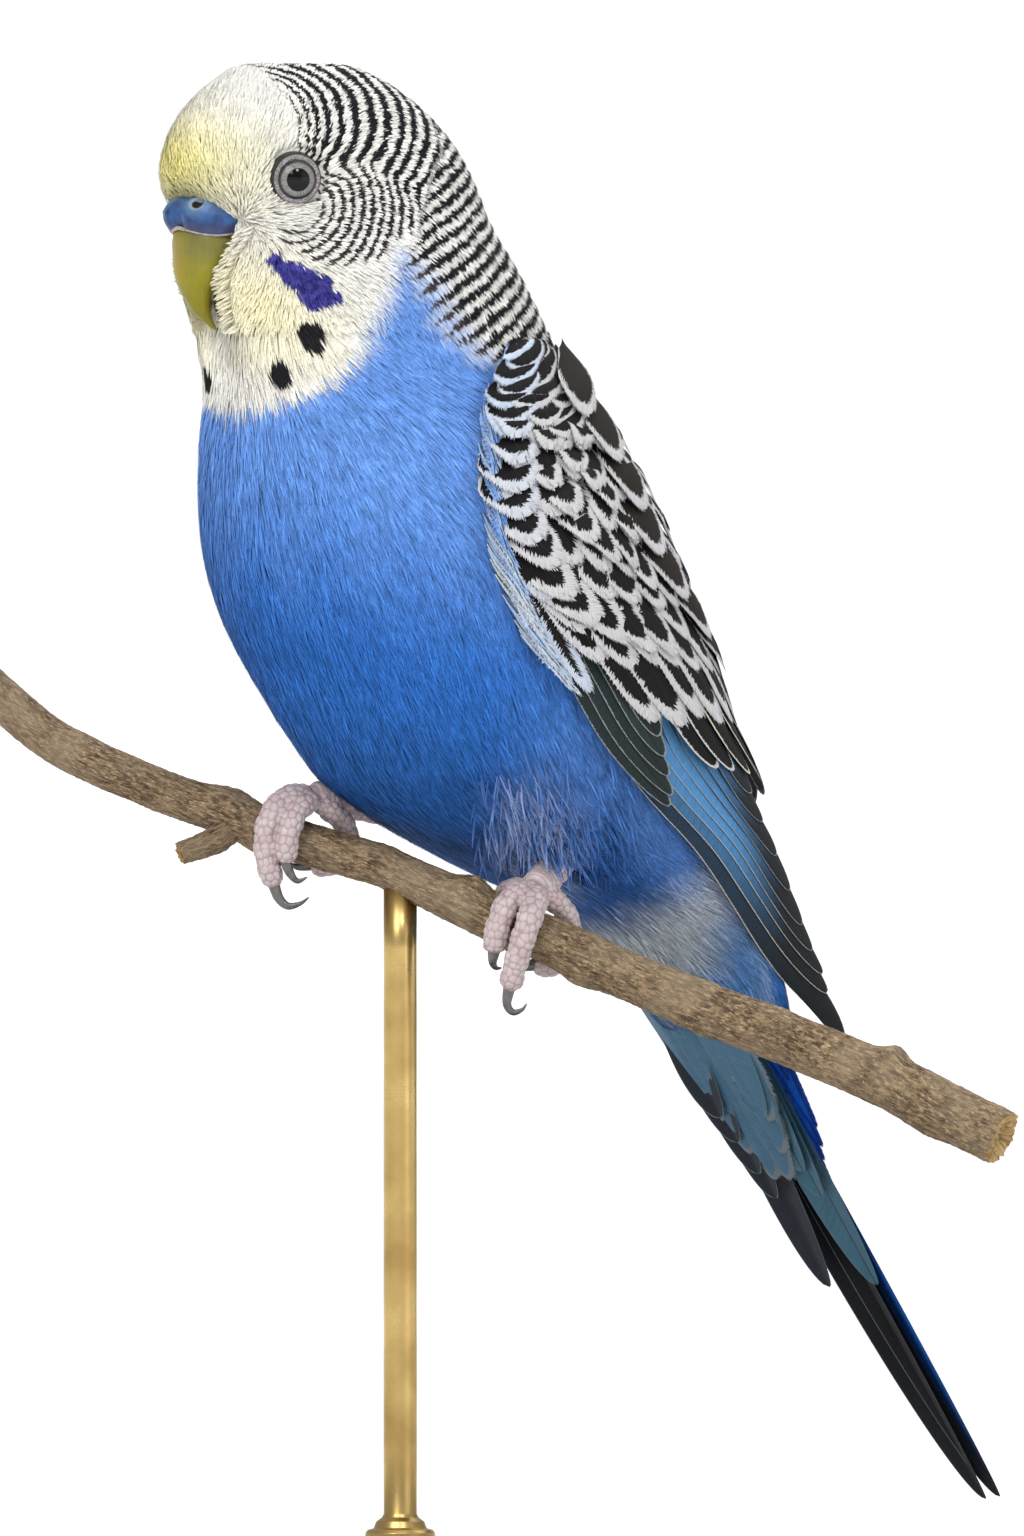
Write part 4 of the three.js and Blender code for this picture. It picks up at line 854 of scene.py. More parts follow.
vane_finish, given, made = socket_group(
    "vane finish",
    {"Tint": "Color", "Hem": "Color", "Core": "Float", "Barb": "Vector", "Ragged": "Float", "Shaft": "Color"},
    {"Color": "Color", "Height": "Float"},
)
# along a barb, across the feather, and a number of the feather's own
down_barb, across, own = node(vane_finish, "ShaderNodeSeparateXYZ", None, Vector=given.outputs["Barb"]).outputs
fibre_place = node(
    vane_finish, "ShaderNodeCombineXYZ", None, X=times(vane_finish, down_barb, 4.5),
    Y=times(vane_finish, across, 0.35), Z=plus(vane_finish, own, maths(vane_finish, "SIGN", across)),
)
fibre = clouds(vane_finish, fibre_place.outputs[0], 1.0, 2.0)
jag = times(vane_finish, maths(vane_finish, "SUBTRACT", fibre, 0.5), given.outputs["Ragged"])
inside = ranged(vane_finish, plus(vane_finish, given.outputs["Core"], jag), -0.07, 0.07)
colour = mixed(vane_finish, inside, given.outputs["Hem"], given.outputs["Tint"])
line = maths(vane_finish, "SINE", times(vane_finish, down_barb, 2 * math.pi / BARB_STEP))
fine_streak = ranged(vane_finish, fibre, 0.3, 0.7, -0.13, 0.13)
streak = plus(vane_finish, ranged(vane_finish, line, -1.0, 1.0, 0.90, 1.06), fine_streak)
colour = scaled(vane_finish, colour, streak)
off_middle = maths(vane_finish, "ABSOLUTE", across)
rachis = times(vane_finish, ranged(vane_finish, off_middle, 0.07, 0.13, 0.8, 0.0), inside)
vane_finish.links.new(mixed(vane_finish, rachis, colour, given.outputs["Shaft"]), made.inputs["Color"])
ridges = plus(vane_finish, line, times(vane_finish, rachis, 4.0))
vane_finish.links.new(ridges, made.inputs["Height"])


def vane_material(name, ragged, shaft, roughness):
    material, tree, shader = new_material(name, Roughness=roughness, Specular_IOR_Level=0.11)
    jags = times(tree, attribute(tree, "hem", "Alpha"), ragged)
    finish = node(tree, "ShaderNodeGroup", {"node_tree": vane_finish}, Ragged=jags, Shaft=(*shaft, 1))
    for label, out in (("Tint", "Color"), ("Hem", "Color"), ("Core", "Fac"), ("Barb", "Vector")):
        tree.links.new(attribute(tree, label.lower(), out), finish.inputs[label])
    dress(tree, shader, finish.outputs["Color"], finish.outputs["Height"], 0.35, 0.00003)
    return material


def vane_piece(name, batch, side, material, slot, *replaced):
    """One joined mesh of a batch of feathers, mirrored for side -1, with a cell of the bake's map for each."""
    at = np.vstack(batch["at"])
    faces = np.vstack(batch["faces"])
    if side < 0:
        at = at * (1, -1, 1)
        faces = faces[:, ::-1]
    cell = np.concatenate(batch["cell"])
    grid = math.ceil(math.sqrt(cell.max() + 1))
    uv = (np.stack([cell % grid, cell // grid], -1) + 0.06 + 0.88 * np.vstack(batch["uv"])) / grid
    piece = sheet_piece(name, at, faces, uv, material)
    add_field(piece.data, "tint", "FLOAT_COLOR", with_alpha(np.clip(np.vstack(batch["tint"]), 0, 1)))
    add_field(piece.data, "hem", "FLOAT_COLOR", np.clip(np.vstack(batch["hem"]), 0, 1))
    add_field(piece.data, "core", "FLOAT", np.concatenate(batch["core"]))
    add_field(piece.data, "barb", "FLOAT_VECTOR", np.vstack(batch["barb"]))
    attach(piece, "root")
    if replaced:
        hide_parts(*replaced)
    return piece


# Wings: folded on a curved shell close to the trunk. The primaries are the lowest tier, then the inner flight
# feathers; primary, greater, median and lesser coverts and the scapulars lie over their roots like tiles, black with
# pale fringes. The right wing is the left one mirrored.
WING_CLEAR = 0.45
# height, middle, half depth, half width, angle of the leading edge, angle of the inner edge
WING = [
    (150.0, 12.6, 23.0, 17.4, 112, 140), (143.0, 9.6, 24.4, 18.8, 92, 150), (137.5, 8.2, 25.8, 20.8, 84, 155),
    (130.8, 6.0, 27.5, 23.0, 78, 160), (123.6, 3.7, 28.4, 24.6, 75, 164), (116.4, 0.5, 28.6, 25.0, 75, 168),
    (109.2, -3.3, 27.7, 24.4, 78, 172), (102.0, -7.5, 27.0, 22.8, 83, 176), (94.8, -13.6, 26.0, 20.0, 91, 178),
    (88.8, -22.0, 21.8, 17.2, 94, 178), (82.8, -31.0, 16.6, 13.8, 93, 178), (76.8, -40.0, 11.6, 9.8, 92, 178),
    (70.8, -50.0, 6.0, 5.5, 90, 178), (65.0, -58.0, 1.8, 2.2, 88, 178),
]
COVERT_INK = (0.009, 0.008, 0.009)
SCAPULAR_INK = (0.016, 0.012, 0.010)
PALE_FRINGE = (0.55, 0.54, 0.55)
EDGE_BLUE = (0.50, 0.64, 0.86)
FLIGHT_BLUE = (0.085, 0.25, 0.50)
FLIGHT_DARK = (0.013, 0.016, 0.019)
UNDER_DARK = (0.030, 0.029, 0.030)
CREAM_HEM = (0.62, 0.58, 0.48)
GREY_HEM = (0.27, 0.28, 0.29)
COVERT_GREEN = (0.020, 0.030, 0.031)
# tips as (mm aside from the leading edge, height)
PRIMARY_TIPS = [
    (-0.4, 66.1), (2.2, 71.7), (4.0, 73.9), (5.2, 76.7), (6.5, 79.8), (8.5, 83.8), (10.4, 87.9), (12.9, 91.8),
    (15.6, 95.3),
]
PRIMARY_BLUE = [0.1, 0.55, 0.9, 1, 1, 0.9, 0.7, 0.5, 0.35]
INNER_TIPS = [
    (12.3, 98.7), (15.2, 98.1), (19.2, 97.3), (23.8, 95.7), (28.0, 94.0), (32.0, 92.6), (35.6, 91.8), (38.6, 92.4),
]
PRIMARY_COVERT_TIPS = [(0.8, 94.6), (2.4, 95.9), (4.2, 98.2), (5.8, 100.5), (7.0, 102.8)]
# rows of coverts: mm aside, tip heights there, mm between feathers, length, width, fringe at side and tip, lift,
# slant
COVERT_ROWS = [
    ((0.2, 3.6), (109.5, 106.0), 1.7, 18, 3.4, (0.5, 1.8), 2.4, 0.02),
    ((5.2, 10, 18, 25, 46), (104.9, 103.8, 104.1, 103.1, 101.5), 4.3, 19, 6.6, (0.6, 2.4), 2.5, -0.05),
    ((5, 21, 29, 46), (111.4, 110.0, 109.2, 107.4), 4.0, 12.5, 5.4, (0.6, 1.6), 2.45, 0.2),
    ((4, 14, 24), (115.4, 114.6, 113.4), 4.0, 9, 5.2, (0.6, 1.4), 2.4, 0.3),
    ((3, 22, 32, 46), (119.2, 117.6, 115.2, 113.6), 4.0, 9, 5.4, (0.5, 1.35), 2.5, 0.25),
    ((2, 12, 22), (123.4, 121.8, 119.8), 4.0, 8, 5.2, (0.6, 1.35), 2.4, 0.25),
    ((2, 14, 26, 40), (128.6, 126.5, 122.4, 119.6), 4.0, 8, 5.2, (0.5, 1.35), 2.45, 0.2),
    ((1, 13, 24, 36), (133.6, 131.6, 128.4, 125.2), 3.8, 7, 5.0, (0.4, 1.2), 2.4, 0.2),
    ((0.5, 14, 22, 30), (137.4, 135.6, 133.4, 131.0), 3.8, 6, 5.0, (0.3, 1.1), 2.5, 0.1),
    ((0.5, 12, 26), (139.2, 137.4, 135.0), 4.2, 5, 7.0, (0.1, 0.9), 2.6, 0.3),
    ((0.5, 10, 23), (141.0, 139.0, 136.0), 4.2, 4.8, 6.8, (0.1, 0.9), 2.4, 0.3),
    ((0.5, 9, 20), (142.8, 140.8, 138.0), 4.0, 4.5, 6.6, (0.1, 0.85), 2.15, 0.3),
    ((0.5, 8, 17), (144.5, 142.7, 140.4), 3.8, 4.2, 6.2, (0.08, 0.85), 1.8, 0.3),
    ((0.5, 7, 15), (146.1, 144.5, 142.6), 3.6, 4.0, 6.0, (0.08, 0.8), 1.45, 0.3),
    ((0.5, 6, 13), (147.6, 146.3, 144.6), 3.6, 4.0, 5.8, (0.08, 0.75), 1.1, 0.3),
]
# broad coverts one by one: mm aside and height of the tip, degrees turned back, width, length, fringe at the tip
BROAD_COVERTS = [
    (17.0, 111.9, 20, 5.2, 11, 1.8), (13.6, 112.5, 25, 5.4, 11, 1.9), (10.6, 113.8, 32, 6.0, 11, 2.1),
    (7.9, 116.2, 38, 6.2, 10, 2.1), (5.9, 119.2, 38, 6.0, 9, 1.9), (5.0, 122.6, 33, 5.8, 8, 1.5),
    (3.3, 125.3, 28, 6.2, 7, 1.4), (2.5, 128.2, 25, 6.6, 7, 1.4), (2.4, 131.2, 22, 6.8, 6.5, 1.35),
    (2.3, 134.2, 12, 6.0, 6, 1.3), (1.8, 137.2, 3, 5.2, 5.5, 1.1),
    (18.7, 119.6, 20, 4.4, 8, 1.5), (16.3, 122.0, 12, 3.4, 8, 1.2), (13.7, 122.8, 28, 3.8, 8, 1.3),
    (11.0, 125.2, 30, 5.0, 7.5, 1.5), (9.0, 128.4, 24, 5.2, 7, 1.5), (6.5, 131.4, 24, 4.4, 6, 1.2),
    (18.2, 125.2, 20, 4.0, 7, 1.3), (15.6, 128.7, 20, 3.6, 6.5, 1.2), (12.6, 131.0, 8, 3.6, 6, 1.2),
    (9.9, 133.1, -4, 5.2, 6, 1.25), (6.2, 135.7, -6, 5.2, 5.5, 1.2), (11.1, 136.3, -15, 4.6, 5.5, 1.1),
]
SCAPULAR_TIPS = [
    (31.5, 109.3), (28.4, 113.6), (25.2, 118.2), (22.8, 123.4), (21.6, 128.6), (18.8, 134.2), (13.6, 139.8),
    (43.2, 107.6), (40.6, 113.0), (37.6, 118.2), (34, 123.6), (30.6, 129.4), (27, 135.2),
]
wing_table = smooth_rows(WING)


def shell_point(share, z):
    centre, depth, half, lead, inner = slice_at(wing_table, z)
    angle = np.radians(lead + (inner - lead) * share)
    return np.stack([centre + (depth + WING_CLEAR) * np.cos(angle), (half + WING_CLEAR) * np.sin(angle), z], -1)


levels = np.arange(65.0, 150.0, 0.5)
shares = np.linspace(0, 1, 41)
arcs = [shell_point(shares, np.full(len(shares), z)) for z in levels]
arc_lengths = np.array([np.linalg.norm(np.diff(arc, axis=0), axis=1).sum() for arc in arcs])


def wing_chart(aside, z, lift):
    """A place over the wing's shell: mm aside from the leading edge, height, and mm above the shell."""
    z = np.clip(z, 65.1, 149.9)
    share = np.clip(aside / np.interp(z, levels, arc_lengths), -0.14, 1.07)
    down = shell_point(share, z - 0.3) - shell_point(share, z + 0.3)
    back = shell_point(share + 0.01, z) - shell_point(share - 0.01, z)
    return shell_point(share, z) + unit(np.cross(down, back)) * lift[:, None]


def lying(low, high, tilt, arch=0.12):
    """Lifts a feather from its root to its tip, tilts it so that its leading edge shows, and arches it."""
    return lambda u, t: low + (high - low) * step_between(t, 0, 0.75) - tilt * u - arch * u**2


def plain_paint(colour, spread=0.12):
    shade = np.array(colour) * draw.normal(1, spread)
    return lambda u, t: np.tile(shade, (len(u), 1))


def primary_paint(strength):
    """Blue outer web that darkens to the tip, and a near-black inner web."""

    def paint(u, t):
        blue = step_between(u, 0.12, -0.05) * step_between(t, 0.86, 0.5) * strength
        return blend(FLIGHT_DARK, FLIGHT_BLUE, blue)

    return paint


def wing_feather(root, tip, stretch, width, rise, paint, hem, fringe, **more):
    add_feather(wing_batch, wing_chart, root, tip, stretch, width, rise, paint, hem, fringe, UNDER_DARK, **more)


def edge_hem(aside, most):
    """The hem of a covert, bluer at the wing's leading edge."""
    return blend(PALE_FRINGE, EDGE_BLUE, np.array([np.exp(-((aside / 3.0) ** 2)) * most]))[0]


wing_batch = start_batch()
add_feather(
    wing_batch, lambda x, y, lift: wing_chart(x, y, np.full(len(x), 0.35)), (21, 149), (22, 97), 1.1, 43,
    lambda u, t: 0 * u, plain_paint(COVERT_INK), COVERT_INK, (0, 0), UNDER_DARK, point=0.9, neck=0.55, size=(24, 30),
)
for k, (aside, z) in enumerate(PRIMARY_TIPS):
    hem = blend(CREAM_HEM, GREY_HEM, np.array([min(k / 5, 1)]))[0]
    wing_feather(
        (2.3 + 2.45 * k, 107), (aside, z), 1.35, 6.0, lying(0.55, 0.75 + 0.17 * k, 0.22),
        primary_paint(PRIMARY_BLUE[k]), hem, (0.13, 0.16), skew=0.42, point=0.62, bow=0.5, size=(8, 30),
    )
for k, (aside, z) in enumerate(INNER_TIPS):
    wing_feather(
        (aside + 2.6, 114), (aside, z), 1.2, 6.6, lying(1.0, 2.35 + 0.07 * k, 0.3), plain_paint(COVERT_INK),
        CREAM_HEM if k > 1 else PALE_FRINGE, (0.34, 0.5), skew=0.45, point=0.5, size=(8, 20),
    )
for k, (aside, z) in enumerate(PRIMARY_COVERT_TIPS):
    wing_feather(
        (aside + 1.6, 116), (aside, z), 1.2, 4.6, lying(0.9, 1.75 + 0.1 * k, 0.25), plain_paint(COVERT_GREEN),
        GREY_HEM, (0.15, 0.26), skew=0.42, point=0.55, size=(8, 18),
    )
for number, (where, heights, apart, length, width, fringe, lift, slant) in enumerate(COVERT_ROWS):
    greater = length > 10
    row = np.arange(where[0] + number % 2 * apart / 2, where[-1], apart) + draw.uniform(-0.5, 0.5)
    for aside in row:
        z = np.interp(aside, where, heights) + draw.normal(0, 0.3)
        root = (max(aside - slant * length + draw.normal(0, 0.3), -0.2), min(z + length / 1.05, 149.8))
        wing_feather(
            root, (aside + draw.normal(0, 0.35), z), 1.05, width * draw.uniform(0.88, 1.12),
            lying(lift - min(1.5, lift * 0.6), lift, 0.2), plain_paint(COVERT_INK), edge_hem(aside, 0.6),
            (fringe[0] * draw.uniform(0.4, 2.2), fringe[1] * draw.uniform(0.85, 1.15)),
            skew=0.48, point=0.55 if greater else 0.4, size=(8, 14) if greater else (6, 9), loose=44,
        )
for aside, z, turned_back, width, length, tip_fringe in BROAD_COVERTS:
    heading = math.radians(turned_back)
    root = (max(aside - length * math.sin(heading), -0.8), z + length * math.cos(heading) / 1.05)
    low = 1.3 - 0.9 * float(step_between(z, 121, 129))
    wing_feather(
        root, (aside, z), 1.05, width, lying(low, 2.85, 0.2), plain_paint(COVERT_INK), edge_hem(aside, 0.4),
        (0.45 * draw.uniform(0.6, 1.6), tip_fringe), skew=0.5, point=0.35, neck=0.6, size=(8, 12), loose=56,
    )
for k, (aside, z) in enumerate(SCAPULAR_TIPS):
    inset, lift = (3.4, (1.4, 3.1, 0.15)) if k < 7 else (1.2, (0.8, 2.2, 0.1))
    wing_feather(
        (aside - inset, min(z + 10, 149)), (aside, z), 1.05, 7.6, lying(*lift), plain_paint(SCAPULAR_INK),
        PALE_FRINGE, (0.5, 1.5), point=0.4, neck=0.55, size=(8, 12), loose=56,
    )
# small blue and grey strands along the leading edge
for z in np.arange(146, 108, -0.6):
    low_edge = float(step_between(z, 126, 118))
    share = np.clip(draw.uniform(-0.2, 0.8) + 0.7 * low_edge, 0, 1)
    tint = blend((0.14, 0.30, 0.68), (0.50, 0.56, 0.62), np.array([share]))[0]
    high = np.interp(z, [100, 106, 120, 134, 146], [1.6, 2.9, 2.9, 2.2, 1.2])
    root = (-1.6 + draw.uniform(-0.4, 0.4), min(z + 6.5, 149.5))
    tip = (-0.5 + draw.uniform(-0.4, 0.5) + 0.3 * low_edge, z)
    add_feather(
        wing_batch, wing_chart, root, tip, 1.05, 0.7 + 0.3 * low_edge, lying(0.3, high, 0.1),
        plain_paint(tint, 0.08), tint, (0.1, 0.4), tint * 0.6, point=0.3, size=(4, 9), loose=16,
    )
wing_look = vane_material("wing_vanes", 2.4, (0.016, 0.013, 0.012), 0.72)
vane_piece("wing_feathers_left", wing_batch, 1, wing_look, "wing_feathers", "wing_left")
vane_piece("wing_feathers_right", wing_batch, -1, wing_look, "wing_feathers", "wing_right")

# Tail: six pairs of straight feathers from one root, the middle pair by far the longest and drooping to each side
# like a roof, with soft coverts over and under their roots.
TAIL_ROOT = (-35.0, 75.0)
TAIL_LEAN = math.radians(36.3)
TAIL_LENGTHS = [80, 46.6, 33, 29, 24, 20]
TAIL_SPREAD = [1.1, 4.4, 4.2, 4.1, 4, 3.9]
TAIL_BLUE = (0.006, 0.11, 0.50)
TAIL_DARK = (0.011, 0.012, 0.016)
TAIL_TEAL = (0.065, 0.17, 0.25)
TAIL_UNDER_SHADE = (0.022, 0.028, 0.040)
TAIL_HEM = (0.28, 0.36, 0.40)
UNDER_TEAL = (0.08, 0.18, 0.28)
UNDER_HEM = (0.30, 0.37, 0.42)
UPPER_BLUE = (0.02, 0.14, 0.56)
# soft blue coverts over the tail's root: how far down they reach, how far to the side
UPPER_COVERTS = [
    (34, 0.8), (31, 2.2), (29, 3.6), (26, 5.0), (24, 1.4), (21, 2.9), (19, 4.4), (17, 6.0), (14, 1.8), (12, 3.8),
    (10, 5.6),
]
UNDER_COVERTS = [(30, 1.4), (26, 3.2), (21, 4.6), (15, 2.4), (13, 4.8)]


def tail_chart(across, along, up):
    s, c = math.sin(TAIL_LEAN), math.cos(TAIL_LEAN)
    return np.stack([TAIL_ROOT[0] - along * s - up * c, across, TAIL_ROOT[1] - along * c + up * s], -1)


def drooping(start, end, droop, width):
    slope = math.sin(math.radians(droop)) * width / 2
    return lambda u, t: start + (end - start) * t - slope * np.abs(u)


def middle_paint(side):
    """Cobalt outer web and dark inner web, darkening to the tip."""

    def paint(u, t):
        blue = step_between(u * side, -0.15, 0.15) * step_between(t, 0.97, 0.7)
        return blend(TAIL_DARK, TAIL_BLUE, blue)

    return paint


def tail_feather(root, tip, width, rise, paint, hem, fringe, under, **more):
    add_feather(tail_batch, tail_chart, root, tip, 1, width, rise, paint, hem, fringe, under, **more)


tail_batch = start_batch()
for side in (1, -1):
    for i, (length, spread) in enumerate(zip(TAIL_LENGTHS, TAIL_SPREAD)):
        # the middle pair
        width, droop, low, rows, point = 7.6, 24, 0, 60, 0.42
        # Painted shade: on the bird's right, side -1, the undersides are near black and dark slate; on its left they
        # keep the feathers' own blue and teal.
        over, under = middle_paint(side), middle_paint(side) if side > 0 else TAIL_DARK
        if i:
            width, droop, low, rows, point = 7.0, 14, -1.7 - i * 0.42, 30, 0.55
            # painted shade: dark slate undersides on the bird's right
            over, under = plain_paint(TAIL_TEAL), TAIL_TEAL if side > 0 else TAIL_UNDER_SHADE
        tail_feather(
            (side * (1.4 + i * 0.6), 1), (side * spread, length), width,
            drooping(1.6 - i * 0.55 + side * 0.1, low + side * 0.25, droop, width), over, TAIL_HEM, (0.09, 0.14),
            under, point=point, neck=0.5, size=(10, rows),
        )
    for reach, across in UPPER_COVERTS:
        tail_feather(
            (side * across * 1.15, 0.5), (side * across * 0.8, reach), 3.6,
            drooping(4.8 - across * 0.25, 2.2, 20, 3.6), plain_paint(UPPER_BLUE, 0.18), UPPER_BLUE, (0.2, 0.5),
            UPPER_BLUE, point=0.45, size=(6, 16), loose=30, shaft=False,
        )
    for reach, across in UNDER_COVERTS:
        tail_feather(
            (side * across * 1.1, 0.5), (side * across, reach), 7.0,
            drooping(-4.2, -4.0 + 0.02 * reach, -16, 7.0), plain_paint(UNDER_TEAL), UNDER_HEM, (0.4, 1.0),
            UNDER_TEAL, point=0.5, size=(8, 16), loose=60, shaft=False,
        )
tail_look = vane_material("tail_vanes", 1.2, (0.02, 0.022, 0.03), 0.55)
vane_piece("tail_feathers_all", tail_batch, 1, tail_look, "tail_feathers", "tail")

# Eyes: on each side a glossy ball with a black pupil and a grey ring of iris, and round it a bare beaded ring of
# lids.
EYE_RADIUS = 3.3
PUPIL = 1.40
IRIS = 2.12
# radius and half thickness of the ring of lids, and how far it stands out from the eye's middle
LID_RING = (2.55, 0.30, 2.12)
for side, name in ((1, "left"), (-1, "right")):
    centre = head_place(EYE[0], side * EYE[1], EYE[2])
    out = unit(head_place(EYE[0] + 0.36, side * (EYE[1] + 1.0), EYE[2] - 0.08) - centre)
    up = unit(np.array([0, 0, 1.0]) - out * out[2])
    cross = np.cross(up, out)

    def ball(angle, share):
        theta = share * math.pi
        spread = np.sin(theta)
        flat = np.cos(theta) + 0.035 * np.exp(-((theta / 0.45) ** 2))
        across = up * np.cos(angle)[:, None] + cross * np.sin(angle)[:, None]
        return centre + EYE_RADIUS * (out * flat[:, None] + across * spread[:, None])

    bm = wrapped(64, 90, ball)
    eye_look, tree, shader = new_material(
        "eye_" + name, Roughness=0.05, Coat_Weight=0.3, Coat_Roughness=0.03, Specular_IOR_Level=0.1
    )
    ring = attribute(tree, "ring", "Vector")
    split = node(tree, "ShaderNodeSeparateXYZ", None, Vector=ring)
    streaks = clouds(tree, ring, 3.0, 4.0)
    iris = washed(tree, (0.13, 0.13, 0.122), streaks, 0.35, 0.65, (0.25, 0.25, 0.235))
    iris = washed(tree, iris, split.outputs[0], IRIS - 0.22, IRIS, (0.03, 0.03, 0.03))
    colour = washed(tree, (0.0015, 0.0015, 0.002), split.outputs[0], PUPIL - 0.04, PUPIL + 0.05, iris)
    dress(tree, shader, colour)
    eyeball = new_piece("eyeball_" + name, bm, eye_look)
    gap = bird_points(eyeball) - centre
    front = gap @ out > 0
    reach = np.where(front, np.hypot(gap @ up, gap @ cross), 9)
    spin = np.arctan2(gap @ up, gap @ cross)
    add_field(eyeball.data, "ring", "FLOAT_VECTOR", np.stack([reach, np.cos(spin) * 4, np.sin(spin) * 4], -1))
    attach(eyeball, "root")
    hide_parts("eye_" + name)

    def lids(angle, share):
        """A beaded ring about the eye; share runs once round its section."""
        theta = share * 2 * math.pi
        bead = 1 + 0.10 * np.abs(np.sin(angle * 22)) * (0.5 + 0.5 * np.cos(theta + 2.4))
        bead = bead + 0.05 * np.sin(angle * 9 + 1)
        reach = LID_RING[0] * (1 + 0.03 * np.cos(2 * angle)) - LID_RING[1] * bead * np.cos(theta)
        lift = LID_RING[2] + LID_RING[1] * bead * np.sin(theta) * 0.8
        flat = up * (np.cos(angle) * reach)[:, None] + cross * (np.sin(angle) * reach)[:, None]
        return centre + out * lift[:, None] + flat

    bm = bmesh.new()
    bmesh.ops.create_grid(bm, x_segments=180, y_segments=22, size=1)
    flat = np.array([v.co for v in bm.verts])
    move_to(bm, lids(flat[:, 0] * math.pi, (flat[:, 1] + 1) / 2))
    bmesh.ops.remove_doubles(bm, verts=bm.verts, dist=1e-6)
    bmesh.ops.recalc_face_normals(bm, faces=bm.faces)
    lid_look, tree, shader = new_material("lid_skin_" + name, Roughness=0.55, Specular_IOR_Level=0.4)
    place = object_place(tree)
    cells = node(tree, "ShaderNodeTexVoronoi", None, Vector=place, Scale=3600.0)
    reach = attribute(tree, "reach")
    colour = washed(tree, (0.40, 0.36, 0.37), cells.outputs["Distance"], 0.1, 0.6, (0.16, 0.14, 0.15))
    colour = washed(tree, colour, reach, 2.62, 2.82, (0.20, 0.17, 0.175), 0.35)
    colour = washed(tree, colour, reach, 2.36, 2.28, (0.012, 0.011, 0.011))
    dress(tree, shader, colour, cells.outputs["Distance"], 0.7, 0.00008, invert=True)
    lid = new_piece("eyelids_" + name, bm, lid_look)
    gap = bird_points(lid) - centre
    add_field(lid.data, "reach", "FLOAT", np.hypot(gap @ up, gap @ cross))
    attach(lid, "root")

# Cere and bill: a blue, two-lobed cere with a nostril in each lobe, over a hooked olive bill with its small lower
# mandible tucked behind it. Cere and horn are close, polished forms made of level slices.
CERE = [
    (167.6, 15.4, 1.2, 2.8), (166.8, 15.2, 4.0, 5.4), (165.4, 15.0, 5.5, 6.6), (164.2, 14.8, 5.7, 6.9),
    (163.2, 14.7, 5.3, 6.3), (162.4, 14.6, 4.9, 5.6), (162.0, 14.6, 4.2, 4.9),
]
UPPER_BILL = [
    (163.6, 14.9, 4.3, 4.5), (162.0, 15.1, 4.6, 5.0), (160.2, 15.8, 3.95, 4.5), (157.3, 16.9, 2.6, 3.4),
    (155.2, 17.15, 1.65, 2.1), (154.0, 16.8, 1.3, 1.5), (152.8, 16.2, 0.95, 0.95), (151.9, 15.35, 0.55, 0.5),
    (151.1, 14.6, 0.3, 0.3),
]
LOWER_BILL = [(157.6, 11.6, 1.7, 2.2), (155.6, 12.4, 2.0, 2.2), (153.8, 13.0, 1.5, 1.6), (152.6, 13.2, 0.8, 0.9)]
NOSTRIL = (18.9, 3.4, 166.2)
# how far round the front, height of the pale rim under the cere
RIM = [(0, 163.3), (0.35, 163.0), (0.7, 162.6), (1.05, 162.45), (1.4, 162.65), (1.75, 162.85), (3.2, 163.0)]
RIM_RADIUS = 0.24


def rim_height(near):
    return np.interp(np.abs(near), *zip(*RIM))


def head_form(rows, groove=0.0, holes=False):
    table = smooth_rows(rows)
    top, foot = rows[0][0], rows[-1][0]

    def place(angle, share):
        z = top + (foot - top) * share
        centre, depth, half = slice_at(table, z)
        near = around_front(angle)
        pole = np.where((share < 1e-4) | (share > 1 - 1e-4), 0, 1)
        dent = 1 - groove * np.exp(-((near / 0.2) ** 2))
        forward, side = depth * np.cos(angle) * dent * pole, half * np.sin(angle) * pole
        if holes:
            under = step_between(rim_height(near) - z, -0.1, 0.25)
            forward, side = forward * (1 - 0.15 * under), side * (1 - 0.1 * under)
            gap = np.stack([centre + forward, np.abs(side), z], -1) - NOSTRIL
            gap = np.sqrt((gap**2).sum(1))
            push = 0.22 * np.exp(-(((gap - 1.1) / 0.35) ** 2)) - 1.2 * np.exp(-((gap / 0.68) ** 2))
            forward, side = forward + push * 0.85, side + push * 0.5 * np.sign(side)
        return head_place(centre + forward, side, z)

    return place


def horn_material(name, high, low, root_colour_and_shade, middle_colour, tip_colour, edge_colour, roughness):
    """Horn graded from root to tip, with faint growth lines down it and cloudy flecks. The darker root colour is
    partly the horn's own tone and partly painted shadow under what overhangs it.
    """
    material, tree, shader = new_material(
        name, Roughness=roughness, Coat_Weight=0.05, Coat_Roughness=0.15, Specular_IOR_Level=0.2
    )
    place = object_place(tree)
    height = node(tree, "ShaderNodeSeparateXYZ", None, Vector=place).outputs[2]
    cloud = clouds(tree, place, 420.0, 4.0)
    height = plus(tree, height, times(tree, maths(tree, "SUBTRACT", cloud, 0.5), 0.006))
    # Painted shadow: the root colour darkens the horn just under what overhangs it, over the horn's own tone.
    colour = washed(tree, root_colour_and_shade, height, high, (high + low) / 2, middle_colour)
    colour = washed(tree, colour, height, (high + low) / 2, low, tip_colour)
    along = node(tree, "ShaderNodeSeparateXYZ", None, Vector=place).outputs[0]
    colour = washed(tree, colour, along, -0.0385, -0.0408, edge_colour, 0.85)
    stretch = stretched(tree, place, (1, 1, 0.12))
    lines = clouds(tree, stretch, 2600.0, 3.0)
    colour = washed(tree, colour, lines, 0.35, 0.65, (0.26, 0.24, 0.07), 0.22)
    colour = washed(tree, colour, cloud, 0.58, 0.7, (0.10, 0.11, 0.05), 0.3)
    dress(tree, shader, colour, lines, 0.25, 0.00006)
    return material


